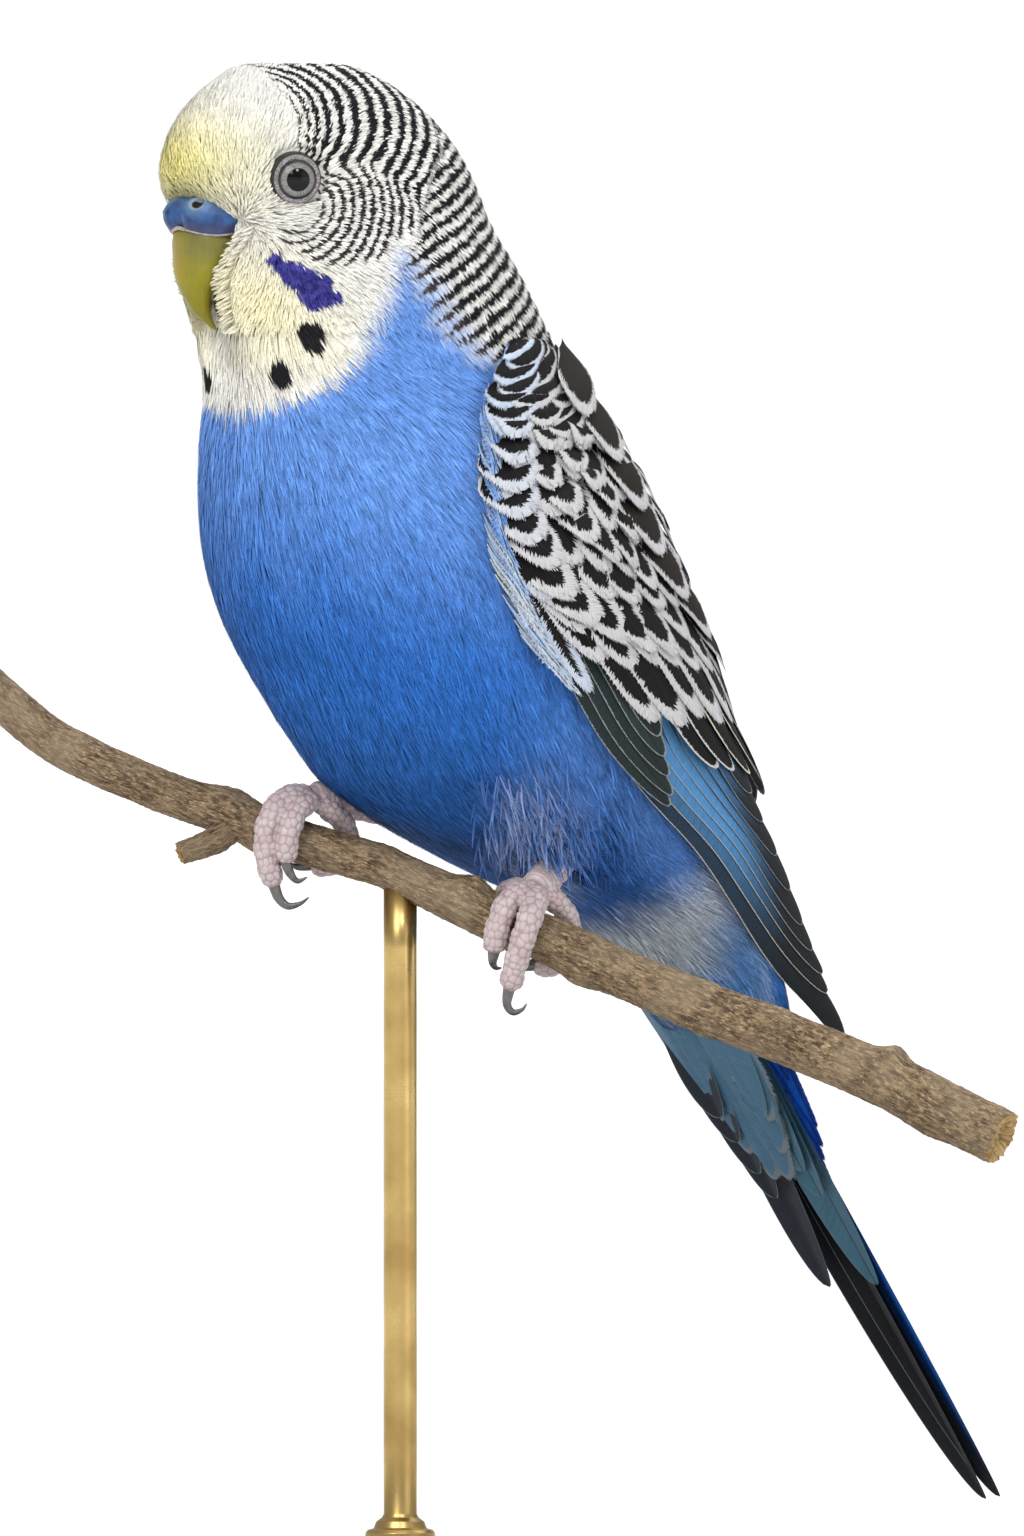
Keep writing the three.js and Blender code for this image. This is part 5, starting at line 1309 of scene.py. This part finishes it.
cere_look, tree, shader = new_material(
    "cere_skin", Roughness=0.42, Coat_Weight=0.08, Coat_Roughness=0.3, Specular_IOR_Level=0.3
)
place = object_place(tree)
height = node(tree, "ShaderNodeSeparateXYZ", None, Vector=place).outputs[2]
cloud = clouds(tree, place, 500.0, 4.0)
fine = clouds(tree, place, 3200.0, 3.0)
colour = washed(tree, (0.006, 0.022, 0.095), cloud, 0.35, 0.65, (0.026, 0.095, 0.27))
height = plus(tree, height, times(tree, maths(tree, "SUBTRACT", cloud, 0.5), 0.0012))
# Painted highlight: the top of the cere is lightened to pale blue.
colour = washed(tree, colour, height, 0.1652, 0.1672, (0.13, 0.26, 0.46), 0.4)
colour = washed(tree, colour, height, 0.1640, 0.1630, (0.10, 0.08, 0.13), 0.35)
hole = attribute(tree, "nostril")
colour = washed(tree, colour, hole, 2.2, 1.2, (0.17, 0.33, 0.50), 0.4)
colour = washed(tree, colour, hole, 1.3, 1.0, (0.34, 0.38, 0.42), 0.6)
# Painted shade: the nostril's opening is painted near black.
colour = washed(tree, colour, hole, 0.86, 0.74, (0.012, 0.006, 0.006))
dress(tree, shader, colour, fine, 0.35, 0.00008)
cere = new_piece("cere_lobes", wrapped(160, 110, head_form(CERE, 0.20, True)), cere_look)
places = bird_points(cere)
holes = [head_place(NOSTRIL[0], k * NOSTRIL[1], NOSTRIL[2]) for k in (1, -1)]
add_field(cere.data, "nostril", "FLOAT", np.min([np.linalg.norm(places - h, axis=1) for h in holes], axis=0))
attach(cere, "root")
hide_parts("cere")
rim_look, tree, shader = new_material("cere_rim", Roughness=0.4, Specular_IOR_Level=0.3)
place = object_place(tree)
cloud = clouds(tree, place, 1400.0, 3.0)
colour = washed(tree, (0.24, 0.19, 0.18), cloud, 0.35, 0.65, (0.46, 0.40, 0.38))
dress(tree, shader, colour)
rim_turns = np.linspace(-1.95, 1.95, 41)
rim_z = rim_height(rim_turns)
rim_centre, rim_depth, rim_half = slice_at(smooth_rows(CERE), rim_z)
rim_forward = rim_centre + (rim_depth * np.cos(rim_turns)) * 0.93
rim_points = head_place(rim_forward, rim_half * np.sin(rim_turns) * 0.95, rim_z)
rim_bm = tube(rim_points, lambda share, angle, point: RIM_RADIUS + 0 * share, 12, 120, (0, 0, 1), 0.03)
rim = new_piece("cere_rim", rim_bm, rim_look)
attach(rim, "root")
upper_look = horn_material(
    "bill_horn", 0.1635, 0.1505, (0.11, 0.115, 0.05), (0.235, 0.205, 0.004), (0.19, 0.165, 0.008),
    (0.34, 0.24, 0.02), 0.35,
)
upper = new_piece("bill_upper", wrapped(96, 90, head_form(UPPER_BILL)), upper_look)
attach(upper, "root")
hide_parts("beak_upper")
# Painted shade: the lower mandible is painted near black all over, as the shade in the gap under the upper bill.
lower_look = horn_material("bill_horn_low", 0.157, 0.1525, *[(0.03, 0.02, 0.012), (0.04, 0.03, 0.012)] * 2, 0.5)
lower = new_piece("bill_lower", wrapped(64, 50, head_form(LOWER_BILL)), lower_look)
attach(lower, "root")
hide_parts("beak_lower")

# Feet: scaly pinkish skin over the shank, palm and four toes of each foot, two toes in front of the branch and two
# behind it. One closed hide per foot, with rows of round scales standing proud of the creases between them.
PERCH_TURN = math.radians(22)
PERCH_MIDDLE = (-12.8, -4.7)
# points are (x, mm in front of the branch's middle, height) in the row's frame; then radii at root and tip, claw
TOES = {
    "right": {
        "outer_front": (
            [
                (-23.9, 0.2, 95.6), (-27.3, 2.6, 94.9), (-29, 4.0, 92.7), (-29.6, 4.1, 90), (-29.3, 3.6, 87.4),
                (-28.5, 2.6, 84.8),
            ],
            (1.5, 1.4),
            [(-28.4, 2.4, 84.2), (-28.0, 2.2, 83.1), (-26.9, 2.1, 82.1), (-25.4, 1.9, 82.4), (-24.3, 1.8, 83.2)],
        ),
        "inner_front": (
            [(-23.4, 0.4, 95.2), (-25.7, 3.1, 93.7), (-26.6, 4.2, 91.5), (-27, 4.2, 89.6), (-27.1, 3.8, 87.7)],
            (1.45, 1.4),
            [(-27, 3.6, 87.1), (-26.6, 3.4, 86), (-25.7, 3.1, 85.1), (-24.5, 2.9, 85.6)],
        ),
        "outer_back": (
            [
                (-23.6, 0.2, 94.9), (-21.6, -1.8, 93.4), (-20.2, -3.6, 92), (-19.5, -4.5, 89.8), (-20.4, -4.4, 87.6),
                (-22.2, -3.7, 86.8), (-24, -3.2, 87.1),
            ],
            (1.4, 1.15),
            [(-24.5, -2.8, 87), (-25.5, -2.2, 86.8), (-26.3, -1.6, 87), (-26.9, -1.1, 87.4)],
        ),
        "inner_back": (
            [(-24.2, 0, 95.2), (-25.8, -2.6, 94.6), (-26.6, -4.3, 92.8), (-26.7, -4.5, 91)],
            (1.4, 1.2),
            [(-26.7, -4.4, 90.4), (-26.7, -4.2, 89.6), (-26.6, -3.8, 88.8), (-26.5, -3.2, 88.3)],
        ),
    },
    "left": {
        "outer_front": (
            [(3, 0.4, 83.9), (2.4, 3.8, 81.5), (1.4, 4.7, 78.4), (0.5, 4.4, 75.4), (-0.25, 3.7, 72.4)],
            (1.65, 1.4),
            [(-0.4, 3.6, 71.8), (-0.6, 3.5, 70.4), (0.1, 3.3, 69.4), (1.2, 3.1, 69.7), (1.8, 3, 70.5)],
        ),
        "inner_front": (
            [(2.2, 0.2, 84.4), (-0.4, 3.6, 82.6), (-1.5, 4.6, 80.2), (-1.95, 4.6, 78.4), (-2.05, 4.4, 76.9)],
            (1.5, 1.5),
            [(-2.2, 4.2, 76.3), (-2.3, 3.9, 75.4), (-1.9, 3.3, 74.7), (-1.2, 2.7, 74.7)],
        ),
        "outer_back": (
            [
                (3.4, 0, 84), (5.6, -2.5, 82.3), (6.8, -4.3, 80.4), (7.1, -4.9, 78), (6.1, -4.6, 75.6),
                (4.4, -3.9, 74.8), (2.7, -3.2, 75.1),
            ],
            (1.45, 1.15),
            [(2.2, -2.8, 75), (1.2, -2, 74.8), (0.3, -1.2, 74.9), (-0.2, -0.5, 75.3)],
        ),
        "inner_back": (
            [(2.2, 0, 84.2), (-0.3, -2.4, 84), (-1.1, -4.2, 82.2), (-1.1, -4.6, 79)],
            (1.4, 1.2),
            [(-1, -4.4, 78.4), (-0.8, -3.9, 77.5), (-0.6, -3.2, 76.9), (-0.5, -2.5, 76.6)],
        ),
    },
}
SHANK_RADIUS = {"right": 1.75, "left": 1.9}
FOOT_VOXEL = 0.00017
SCALE_STEP = 0.88
SCALE_RISE = 0.12
PAD_STEP = 2.6
CLAW_RADII = (0.82, 0.08)


def perch_y(x):
    """Where the branch's middle line lies across the row."""
    return PERCH_MIDDLE[1] - (x - PERCH_MIDDLE[0]) * math.tan(PERCH_TURN)


def beside_perch(points):
    """Places given by their distance in front of the branch's middle, in the bird's frame."""
    points = np.array(points, float)
    y = perch_y(points[:, 0]) - points[:, 1] / math.cos(PERCH_TURN)
    return to_bird(np.stack([points[:, 0], y, points[:, 2]], -1) / 1000)


claw_look, tree, shader = new_material(
    "claw_horn", Roughness=0.32, Coat_Weight=0.3, Coat_Roughness=0.2, Specular_IOR_Level=0.5
)
along = attribute(tree, "along")
place = object_place(tree)
grain = clouds(tree, place, 1600.0, 4.0)
colour = washed(tree, (0.12, 0.112, 0.112), along, 0.0, 0.9, (0.040, 0.037, 0.037))
colour = washed(tree, colour, grain, 0.35, 0.7, (0.20, 0.19, 0.18), 0.5)
dress(tree, shader, colour, grain, 0.3, 0.00006)

foot_look, tree, shader = new_material("foot_skin", Roughness=0.52, Specular_IOR_Level=0.45)
scale = attribute(tree, "scale")
place = object_place(tree)
mottle = clouds(tree, place, 650.0, 3.0)
fine = clouds(tree, place, 5200.0, 3.0)
skin_tone = washed(tree, (0.50, 0.39, 0.395), mottle, 0.35, 0.65, (0.60, 0.52, 0.51))
crease = washed(tree, (0.33, 0.24, 0.25), mottle, 0.35, 0.65, (0.41, 0.33, 0.335))
colour = washed(tree, crease, scale, 0.05, 0.55, skin_tone)
colour = washed(tree, colour, fine, 0.35, 0.7, (0.36, 0.27, 0.30), 0.35)
dress(tree, shader, colour, fine, 0.35, 0.00008)


def claw_taper(t, angle, point):
    radius = CLAW_RADII[0] + (CLAW_RADII[1] - CLAW_RADII[0]) * t**1.25
    return radius * (1 - 0.12 * np.abs(np.sin(angle)))


for side, leg in (("right", RIGHT_LEG), ("left", LEFT_LEG)):
    hip, ankle, joint = to_bird(np.array(leg) / 1000)
    way = unit(joint - ankle)
    radius = SHANK_RADIUS[side]
    lines = [([ankle - way * 2, ankle, joint + way * 0.6], radius, radius * 1.12)]
    for path, (root, tip), claw in TOES[side].values():
        path, claw = beside_perch(path), beside_perch(claw)
        lines.append((np.vstack([path[:-1], claw[:1] + unit(path[-1:] - claw[:1]) * 0.1]), root, tip))
    forms = []
    for number, (points, root, tip) in enumerate(lines):
        span = np.linalg.norm(np.diff(points, axis=0), axis=1).sum()

        def plump(t, angle, point):
            return (root + (tip - root) * t) * (1 + swell * np.cos(2 * math.pi * t * span / PAD_STEP))

        swell = 0.055 if number else 0.02
        forms.append(tube(points, plump, 28, 60, (0, 0, 1), 1.1 / span * 1.3))
    bm = one_hide(forms, FOOT_VOXEL, 5)
    bm.normal_update()
    seeds = []
    for number, (points, root, tip) in enumerate(lines):
        span = np.linalg.norm(np.diff(points, axis=0), axis=1).sum()
        for k, s in enumerate(np.arange(0.3, span + 0.4, SCALE_STEP)):
            t = min(s / span, 1)
            r = root + (tip - root) * t
            middle = catmull(points, np.array([t]))[0]
            before, after = catmull(points, np.array([t - 0.02, min(t + 0.02, 1)]))
            tangent = unit(after - before)
            aside = unit(np.cross(tangent, (0.1, 0.2, 1.0)))
            face = np.cross(aside, tangent)
            around = round(2 * math.pi * r / 1.05)
            turn = (np.arange(around) + 0.5 * (k % 2)) * 2 * math.pi / around + draw.normal(0, 0.15, around)
            ring = middle + tangent * draw.normal(0, 0.13, around)[:, None]
            seeds.append(ring + r * (np.cos(turn)[:, None] * face + np.sin(turn)[:, None] * aside))
    seeds = np.vstack(seeds)
    scale_tree = KDTree(len(seeds))
    for i, seed in enumerate(seeds):
        scale_tree.insert(seed, i)
    scale_tree.balance()
    spots = to_bird(np.array([v.co for v in bm.verts]))
    domes = np.zeros(len(spots))
    for i, spot in enumerate(spots):
        (_, _, near), (_, _, next_near) = scale_tree.find_n(spot, 2)
        domes[i] = (next_near - near) / max(next_near + near, 1e-6)
    domes = step_between(domes, 0.0, 0.42)
    gap = spots - (joint - way * 1.0)
    over = gap @ unit(np.array([0.15, 0.1, 1.0]) - way * way[2]) / radius
    top = step_between(over, 0.1, 0.75) * step_between(-(gap @ way), -3.2, -1.2)
    ridges = 0.5 + 0.5 * np.sin(gap @ way * 2 * math.pi / 0.5 + ripple(spots, 1.2, 21))
    domes = domes * (1 - top) + ridges * top
    rise = SCALE_RISE * (1 - 0.55 * top) * (domes - 0.55)
    for vert, push in zip(bm.verts, rise):
        vert.co += vert.normal * (push / 1000)
    bmesh.ops.triangulate(bm, faces=bm.faces)
    foot = new_piece("foot_" + side, bm, foot_look)
    add_field(foot.data, "scale", "FLOAT", domes)
    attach(foot, "root")
    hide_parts("leg_" + side)
    for name, toe in TOES[side].items():
        claw = beside_perch(toe[2])
        claw = np.vstack([claw[0] + unit(claw[0] - claw[1]) * 0.7, claw[1:]])
        bm = tube(claw, claw_taper, 32, 48, (0.3, 0.3, 0.9), 0.06)
        horn = new_piece("claw_" + side + "_" + name + "_horn", bm, claw_look)
        gap = np.linalg.norm(bird_points(horn) - claw[0], axis=1)
        add_field(horn.data, "along", "FLOAT", gap / gap.max())
        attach(horn, "root")
        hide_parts("claw_" + side + "_" + name)

# Perch: a cut length of a barky twig, brown with paler flakes, knotty, with a short broken-off stub. Its ends show
# tan wood: ragged on the right, where it broke, and sawn on the left.
# x, height, radius of the branch's middle line
PERCH = [
    (-66.5, 111.6, 2.45), (-55, 101.9, 2.5), (-45.4, 97.3, 2.5), (-33.8, 92.9, 2.5), (-26.6, 90.2, 2.5),
    (-16.4, 87.2, 2.5), (-13.4, 85.9, 2.5), (-2, 80.6, 2.7), (5, 77.8, 2.75), (13, 74.2, 2.85), (22.6, 70.2, 3.0),
    (34.6, 65.6, 3.1), (46.6, 60.4, 3.25), (58.6, 54.4, 3.3),
]
# x, angle round from the upper side, height and spread of each swelling
KNOTS = [
    (-34.5, -0.6, 1.0, 2.6), (-29.5, 3.1, 0.6, 2), (-5.4, 0.2, 1.25, 2), (9, 3.1, 0.75, 2.4), (44.6, 0.1, 1.2, 1.3),
    (24, 2.6, 0.35, 3), (51, 3.1, 0.5, 2.6), (-52, 0.5, 0.35, 2), (31, -0.7, 0.25, 2), (57.4, -1.2, 0.3, 1.4),
]
STUB = [(0, 0, 0), (-2.4, -1.8, -1.9), (-6.4, -3.0, -3.4)]
STUB_ROOT = (-33.4, 91.8)
BARK_RISE = 0.17


def bark_height(s, u, v):
    """Flaky ridges that run along the branch, as height from about -1 to 1; s runs along it and u, v across."""
    made = np.empty(len(s))
    for i, (a, b, c) in enumerate(zip(s, u, v)):
        warp = noise.noise((a * 0.35, b * 0.5, c * 0.5)) * 0.9
        flake = 1 - 2 * abs(noise.noise((a * 0.62 + b * 0.5 + warp, b * 1.5, c * 1.5)))
        grit = noise.noise((a * 1.9, b * 3.1, c * 3.1))
        made[i] = 0.75 * flake + 0.45 * grit - 0.2 + 0.35 * warp
    return made


def branch(path, girth, around, along, face, ragged):
    """A branch with bark and open wood at both ends, and fields for its material: bark place and share of wood."""
    path = to_bird(np.array(path, float) / 1000)
    span = np.linalg.norm(np.diff(path, axis=0), axis=1).sum()
    kept = {}

    def place(angle, share):
        t = np.clip((share - face) / (1 - 2 * face), 0, 1)
        rim = np.clip(np.minimum(share, 1 - share) / face, 0, 1)
        middle = catmull(path, t)
        tangent = curve_way(path, t)
        side = unit(np.cross(tangent, (0, 0, 1.0)))
        up = np.cross(side, tangent)
        r = girth(to_row(middle)[:, 0] * 1000, angle)
        s, u, v = t * span, 2.8 * np.cos(angle), 2.8 * np.sin(angle)
        height = bark_height(s, u, v)
        tear = np.array([noise.noise((a * 0.9, b * 0.9, 3.0)) for a, b in zip(u * rim, v * rim)])
        splinter = np.array([noise.noise((a * 2.6, b * 2.6, 9.0)) for a, b in zip(u * rim, v * rim)])
        right = share > 0.5
        depth = np.where(right, ragged, 0.08) * (0.9 * tear + 0.8 * splinter - 0.9 * (1 - rim**2))
        near_end = step_between(np.minimum(t, 1 - t) * span, 1.2, 0)
        out = np.where(right, 1, -1) * depth * np.where(rim < 1, 1, near_end * 0.8)
        r = (r + BARK_RISE * height * np.where(rim < 1, 0.3, 1)) * rim
        kept["place"] = np.stack([s, u, v], -1)
        kept["wood"] = np.where(rim < 0.999, 1.0, 0.0)
        kept["height"] = np.where(rim < 0.999, tear + splinter, height)
        middle = middle + tangent * out[:, None]
        return middle + up * (np.cos(angle) * r)[:, None] + side * (np.sin(angle) * r)[:, None]

    return wrapped(around, along, place), kept


def perch_girth(x, angle):
    made = np.interp(x, [row[0] for row in PERCH], [row[2] for row in PERCH]) + 0.05 * np.sin(3 * angle + x / 3)
    for at, turn, high, spread in KNOTS:
        near = around_front(angle - turn)
        made = made + high * np.exp(-(((x - at) / spread) ** 2)) * np.exp(-((near / 0.8) ** 2))
    return made


main, main_fields = branch([(x, perch_y(x), z) for x, z, _ in PERCH], perch_girth, 108, 760, 0.022, 0.75)
start = np.array([STUB_ROOT[0], perch_y(STUB_ROOT[0]), STUB_ROOT[1]])
stub_girth = lambda x, angle: 1.75 - (STUB_ROOT[0] - x) * 0.07
stub, stub_fields = branch([start + step for step in STUB], stub_girth, 64, 110, 0.09, 0.4)
bark_look, tree, shader = new_material("bark", Roughness=0.85, Specular_IOR_Level=0.3)
place = attribute(tree, "place", "Vector")
high = attribute(tree, "height")
grained = stretched(tree, place, (0.38, 1.3, 1.3), 0.3)
flakes = clouds(tree, grained, 1.5, 7.0, Roughness=0.68)
grit = clouds(tree, grained, 3.4, 6.0, Roughness=0.72)
zones = clouds(tree, place, 0.18, 3.0)
bark = washed(tree, (0.085, 0.050, 0.027), flakes, 0.40, 0.58, (0.33, 0.225, 0.125))
bark = washed(tree, bark, grit, 0.53, 0.63, (0.60, 0.47, 0.30), 0.8)
bark = washed(tree, bark, grit, 0.46, 0.38, (0.040, 0.026, 0.018), 0.85)
# Painted shade: the bark is darkened where its surface lies low, in the furrows.
bark = washed(tree, bark, high, 0.35, -0.55, (0.05, 0.033, 0.023), 0.6)
bark = washed(tree, bark, zones, 0.4, 0.65, (0.40, 0.31, 0.20), 0.45)
fibre = clouds(tree, place, 3.0, 5.0)
timber = washed(tree, (0.36, 0.20, 0.065), fibre, 0.35, 0.65, (0.68, 0.50, 0.24))
# Painted shade: the open wood is darkened where its torn surface lies low.
timber = washed(tree, timber, high, 0.0, -0.6, (0.14, 0.07, 0.022), 0.7)
rough_height = plus(tree, flakes, times(tree, grit, 0.6))
dress(tree, shader, mixed(tree, attribute(tree, "wood"), bark, timber), rough_height, 0.9, 0.0005)
perch = new_piece("perch_bark", joined(main, stub), bark_look)
for key, kind in (("place", "FLOAT_VECTOR"), ("wood", "FLOAT"), ("height", "FLOAT")):
    add_field(perch.data, key, kind, np.concatenate([main_fields[key], stub_fields[key]]))
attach(perch, "root")
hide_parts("perch")

# Stand: a plain dark wooden board with rounded corners and a softened edge, and a brass rod that is let into it
# through a small collar and carries the branch from below.
BOARD = (112.0, 84.0, 6.0)
CORNER = 20.0
# share from bottom middle to top middle, mm in from the edge, height
BOARD_EDGE = [
    (0.0, 42, 0), (0.3, 0.8, 0), (0.36, 0, 0.7), (0.5, 0, 4.2), (0.56, 0.35, 5.2), (0.62, 1.2, 5.8),
    (0.68, 2.4, 6.0), (0.72, 3.2, 6.0), (0.75, 3.5, 5.7), (0.78, 3.8, 6.0), (1.0, 42, 6.0),
]
ROD_X = -13.4
# height above the board, radius
ROD_TURNING = [
    (0, 0), (0, 4.2), (0.9, 4.2), (1.3, 3.9), (1.5, 3.2), (2.3, 2.9), (2.8, 2.2), (3.2, 2.0), (78.4, 2.0), (78.5, 0),
]


def board_place(angle, share):
    inset, height = (np.interp(share, [row[0] for row in BOARD_EDGE], [row[k] for row in BOARD_EDGE]) for k in (1, 2))
    half = np.array([BOARD[0] / 2, BOARD[1] / 2])[None] - inset[:, None]
    corner = np.clip(CORNER - inset, 0, None)
    way = np.stack([np.cos(angle), np.sin(angle)], -1)
    straight = half / np.maximum(np.abs(way), 1e-6)
    flat = way * straight.min(1)[:, None]
    middle = np.sign(way) * np.maximum(half - corner[:, None], 0)
    over = (np.abs(flat) > np.abs(middle)).all(1) & (corner > 0)
    b = (way * middle).sum(1)
    reach = b + np.sqrt(np.maximum(b**2 - (middle**2).sum(1) + corner**2, 0))
    flat = np.where(over[:, None], way * reach[:, None], flat)
    return to_bird(np.stack([flat[:, 0], flat[:, 1], height], -1) / 1000)


board_look, tree, shader = new_material(
    "stand_walnut", Roughness=0.42, Coat_Weight=0.25, Coat_Roughness=0.3, Specular_IOR_Level=0.45
)
place = object_place(tree)
drawn = stretched(tree, place, (9, 120, 120))
rings = clouds(tree, drawn, 1.0, 6.0, Distortion=0.6)
pores = clouds(tree, stretched(tree, place, (160, 2600, 2600)), 1.0, 2.0)
colour = washed(tree, (0.022, 0.013, 0.009), rings, 0.3, 0.7, (0.075, 0.043, 0.026))
colour = washed(tree, colour, pores, 0.56, 0.68, (0.012, 0.008, 0.006), 0.7)
tree.links.new(ranged(tree, pores, 0.4, 0.7, 0.38, 0.55), shader.inputs["Roughness"])
dress(tree, shader, colour, pores, 0.2, 0.00005, invert=True)
board = new_piece("stand_board", wrapped(240, 100, board_place), board_look, smooth=False)
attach(board, "root")
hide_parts("stand_base")


def rod_place(angle, share):
    spot = share * (len(ROD_TURNING) - 1)
    height, radius = (np.interp(spot, np.arange(len(ROD_TURNING)), [row[k] for row in ROD_TURNING]) for k in (0, 1))
    x, y = ROD_X + radius * np.cos(angle), perch_y(ROD_X) + radius * np.sin(angle)
    return to_bird(np.stack([x, y, BOARD[2] + height], -1) / 1000)


rod_look, tree, shader = new_material("stand_brass", Metallic=1.0, Roughness=0.28)
place = object_place(tree)
drawn = stretched(tree, place, (400, 400, 9000))
brushed = clouds(tree, drawn, 1.0, 2.0)
tarnish = clouds(tree, place, 140.0, 5.0)
colour = washed(tree, (0.60, 0.43, 0.17), tarnish, 0.35, 0.7, (0.44, 0.29, 0.10))
tree.links.new(ranged(tree, tarnish, 0.3, 0.7, 0.22, 0.38), shader.inputs["Roughness"])
dress(tree, shader, colour, brushed, 0.15, 0.00003)
rod = new_piece("stand_post", wrapped(64, 90, rod_place), rod_look)
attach(rod, "root")
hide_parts("stand_rod")

# Camera and studio: a long lens level with the middle of the picture, a wide pale floor that curves up all round
# beyond the camera, one soft light from the upper left and weaker ones from the other sides.
VIEW_HEIGHT = 0.09866
VIEW_DISTANCE = 8.0
PICTURE_HEIGHT = 0.18432
FILM_HEIGHT = 36
# the picture is fitted by its height; the wide film lets the views from other sides stand near enough to see it all
FILM_WIDTH = 56
camera = bpy.data.cameras.new("camera")
camera.sensor_fit = "VERTICAL"
camera.sensor_height = FILM_HEIGHT
camera.sensor_width = FILM_WIDTH
camera.lens = FILM_HEIGHT * VIEW_DISTANCE / PICTURE_HEIGHT
camera.clip_end = 40
viewer = linked("camera", camera)
viewer.location = (0, -VIEW_DISTANCE, VIEW_HEIGHT)
viewer.rotation_euler = (math.radians(90), 0, 0)
bpy.context.scene.camera = viewer

# how far the floor lies flat, and the radius of the bend in which it turns up
FLOOR_RUN = 14.0
FLOOR_BEND = 1.2
# it glows from here to there, so that it is white behind the bird while the shadow under the stand stays
GLOW_REACH = (0.2, 1.0)
GLOW = 0.65
bm = bmesh.new()
bmesh.ops.create_grid(bm, x_segments=96, y_segments=40, size=1)
for vert in bm.verts:
    turn = vert.co.x * math.pi
    run = (vert.co.y + 1) / 2 * (FLOOR_RUN + FLOOR_BEND * math.pi / 2)
    bend = max(run - FLOOR_RUN, 0) / FLOOR_BEND
    reach = min(run, FLOOR_RUN) + FLOOR_BEND * math.sin(bend)
    vert.co = (reach * math.cos(turn), reach * math.sin(turn), FLOOR_BEND * (1 - math.cos(bend)))
bmesh.ops.remove_doubles(bm, verts=bm.verts, dist=1e-5)
bmesh.ops.recalc_face_normals(bm, faces=bm.faces)
floor_look, tree, shader = new_material("studio_paper", Roughness=0.9, Specular_IOR_Level=0.2)
place = object_place(tree)
grain = clouds(tree, place, 900.0, 2.0)
dress(tree, shader, mixed(tree, grain, (0.90, 0.90, 0.90), (0.93, 0.93, 0.93)))
away = node(tree, "ShaderNodeVectorMath", {"operation": "LENGTH"}, i0=place).outputs["Value"]
glow = washed(tree, (0, 0, 0), away, *GLOW_REACH, (GLOW, GLOW, GLOW))
tree.links.new(glow, shader.inputs["Emission Color"])
shader.inputs["Emission Strength"].default_value = 1.0
floor = new_piece("studio_floor", bm, floor_look)


def soft_light(name, place, size, power, colour):
    light = bpy.data.lights.new(name, "AREA")
    light.shape = "RECTANGLE"
    light.size, light.size_y = size
    light.energy = power
    light.color = colour
    lamp = linked(name, light)
    lamp.location = place
    lamp.rotation_euler = (Vector((-0.005, 0, 0.1)) - Vector(place)).to_track_quat("-Z", "Y").to_euler()


soft_light("key", (-0.42, -0.80, 0.80), (0.55, 0.55), 6.0, (1, 0.985, 0.96))
soft_light("window", (0.20, -0.82, 0.86), (0.2, 0.17), 2.4, (0.93, 0.97, 1))
soft_light("fill", (0.8, -0.6, 0.3), (0.7, 0.9), 1.3, (0.97, 0.98, 1))
soft_light("top", (0.1, 0.1, 0.95), (0.8, 0.8), 2.9, (1, 1, 1))
soft_light("back", (0.2, 0.28, 0.6), (0.8, 0.3), 1.5, (1, 1, 1))
# the world is white up to a little above the horizon, which is all of it that a level view can see
WORLD_WHITE = (0.06, 0.12)
world = bpy.data.worlds.new("studio")
world.use_nodes = True
tree = world.node_tree
way = node(tree, "ShaderNodeTexCoord").outputs["Generated"]
level = node(tree, "ShaderNodeSeparateXYZ", None, Vector=way).outputs[2]
sky = washed(tree, (1, 1, 1), level, *WORLD_WHITE, (0.45, 0.45, 0.45))
tree.links.new(sky, tree.nodes["Background"].inputs["Color"])
bpy.context.scene.world = world
bpy.context.scene.view_settings.view_transform = "Standard"
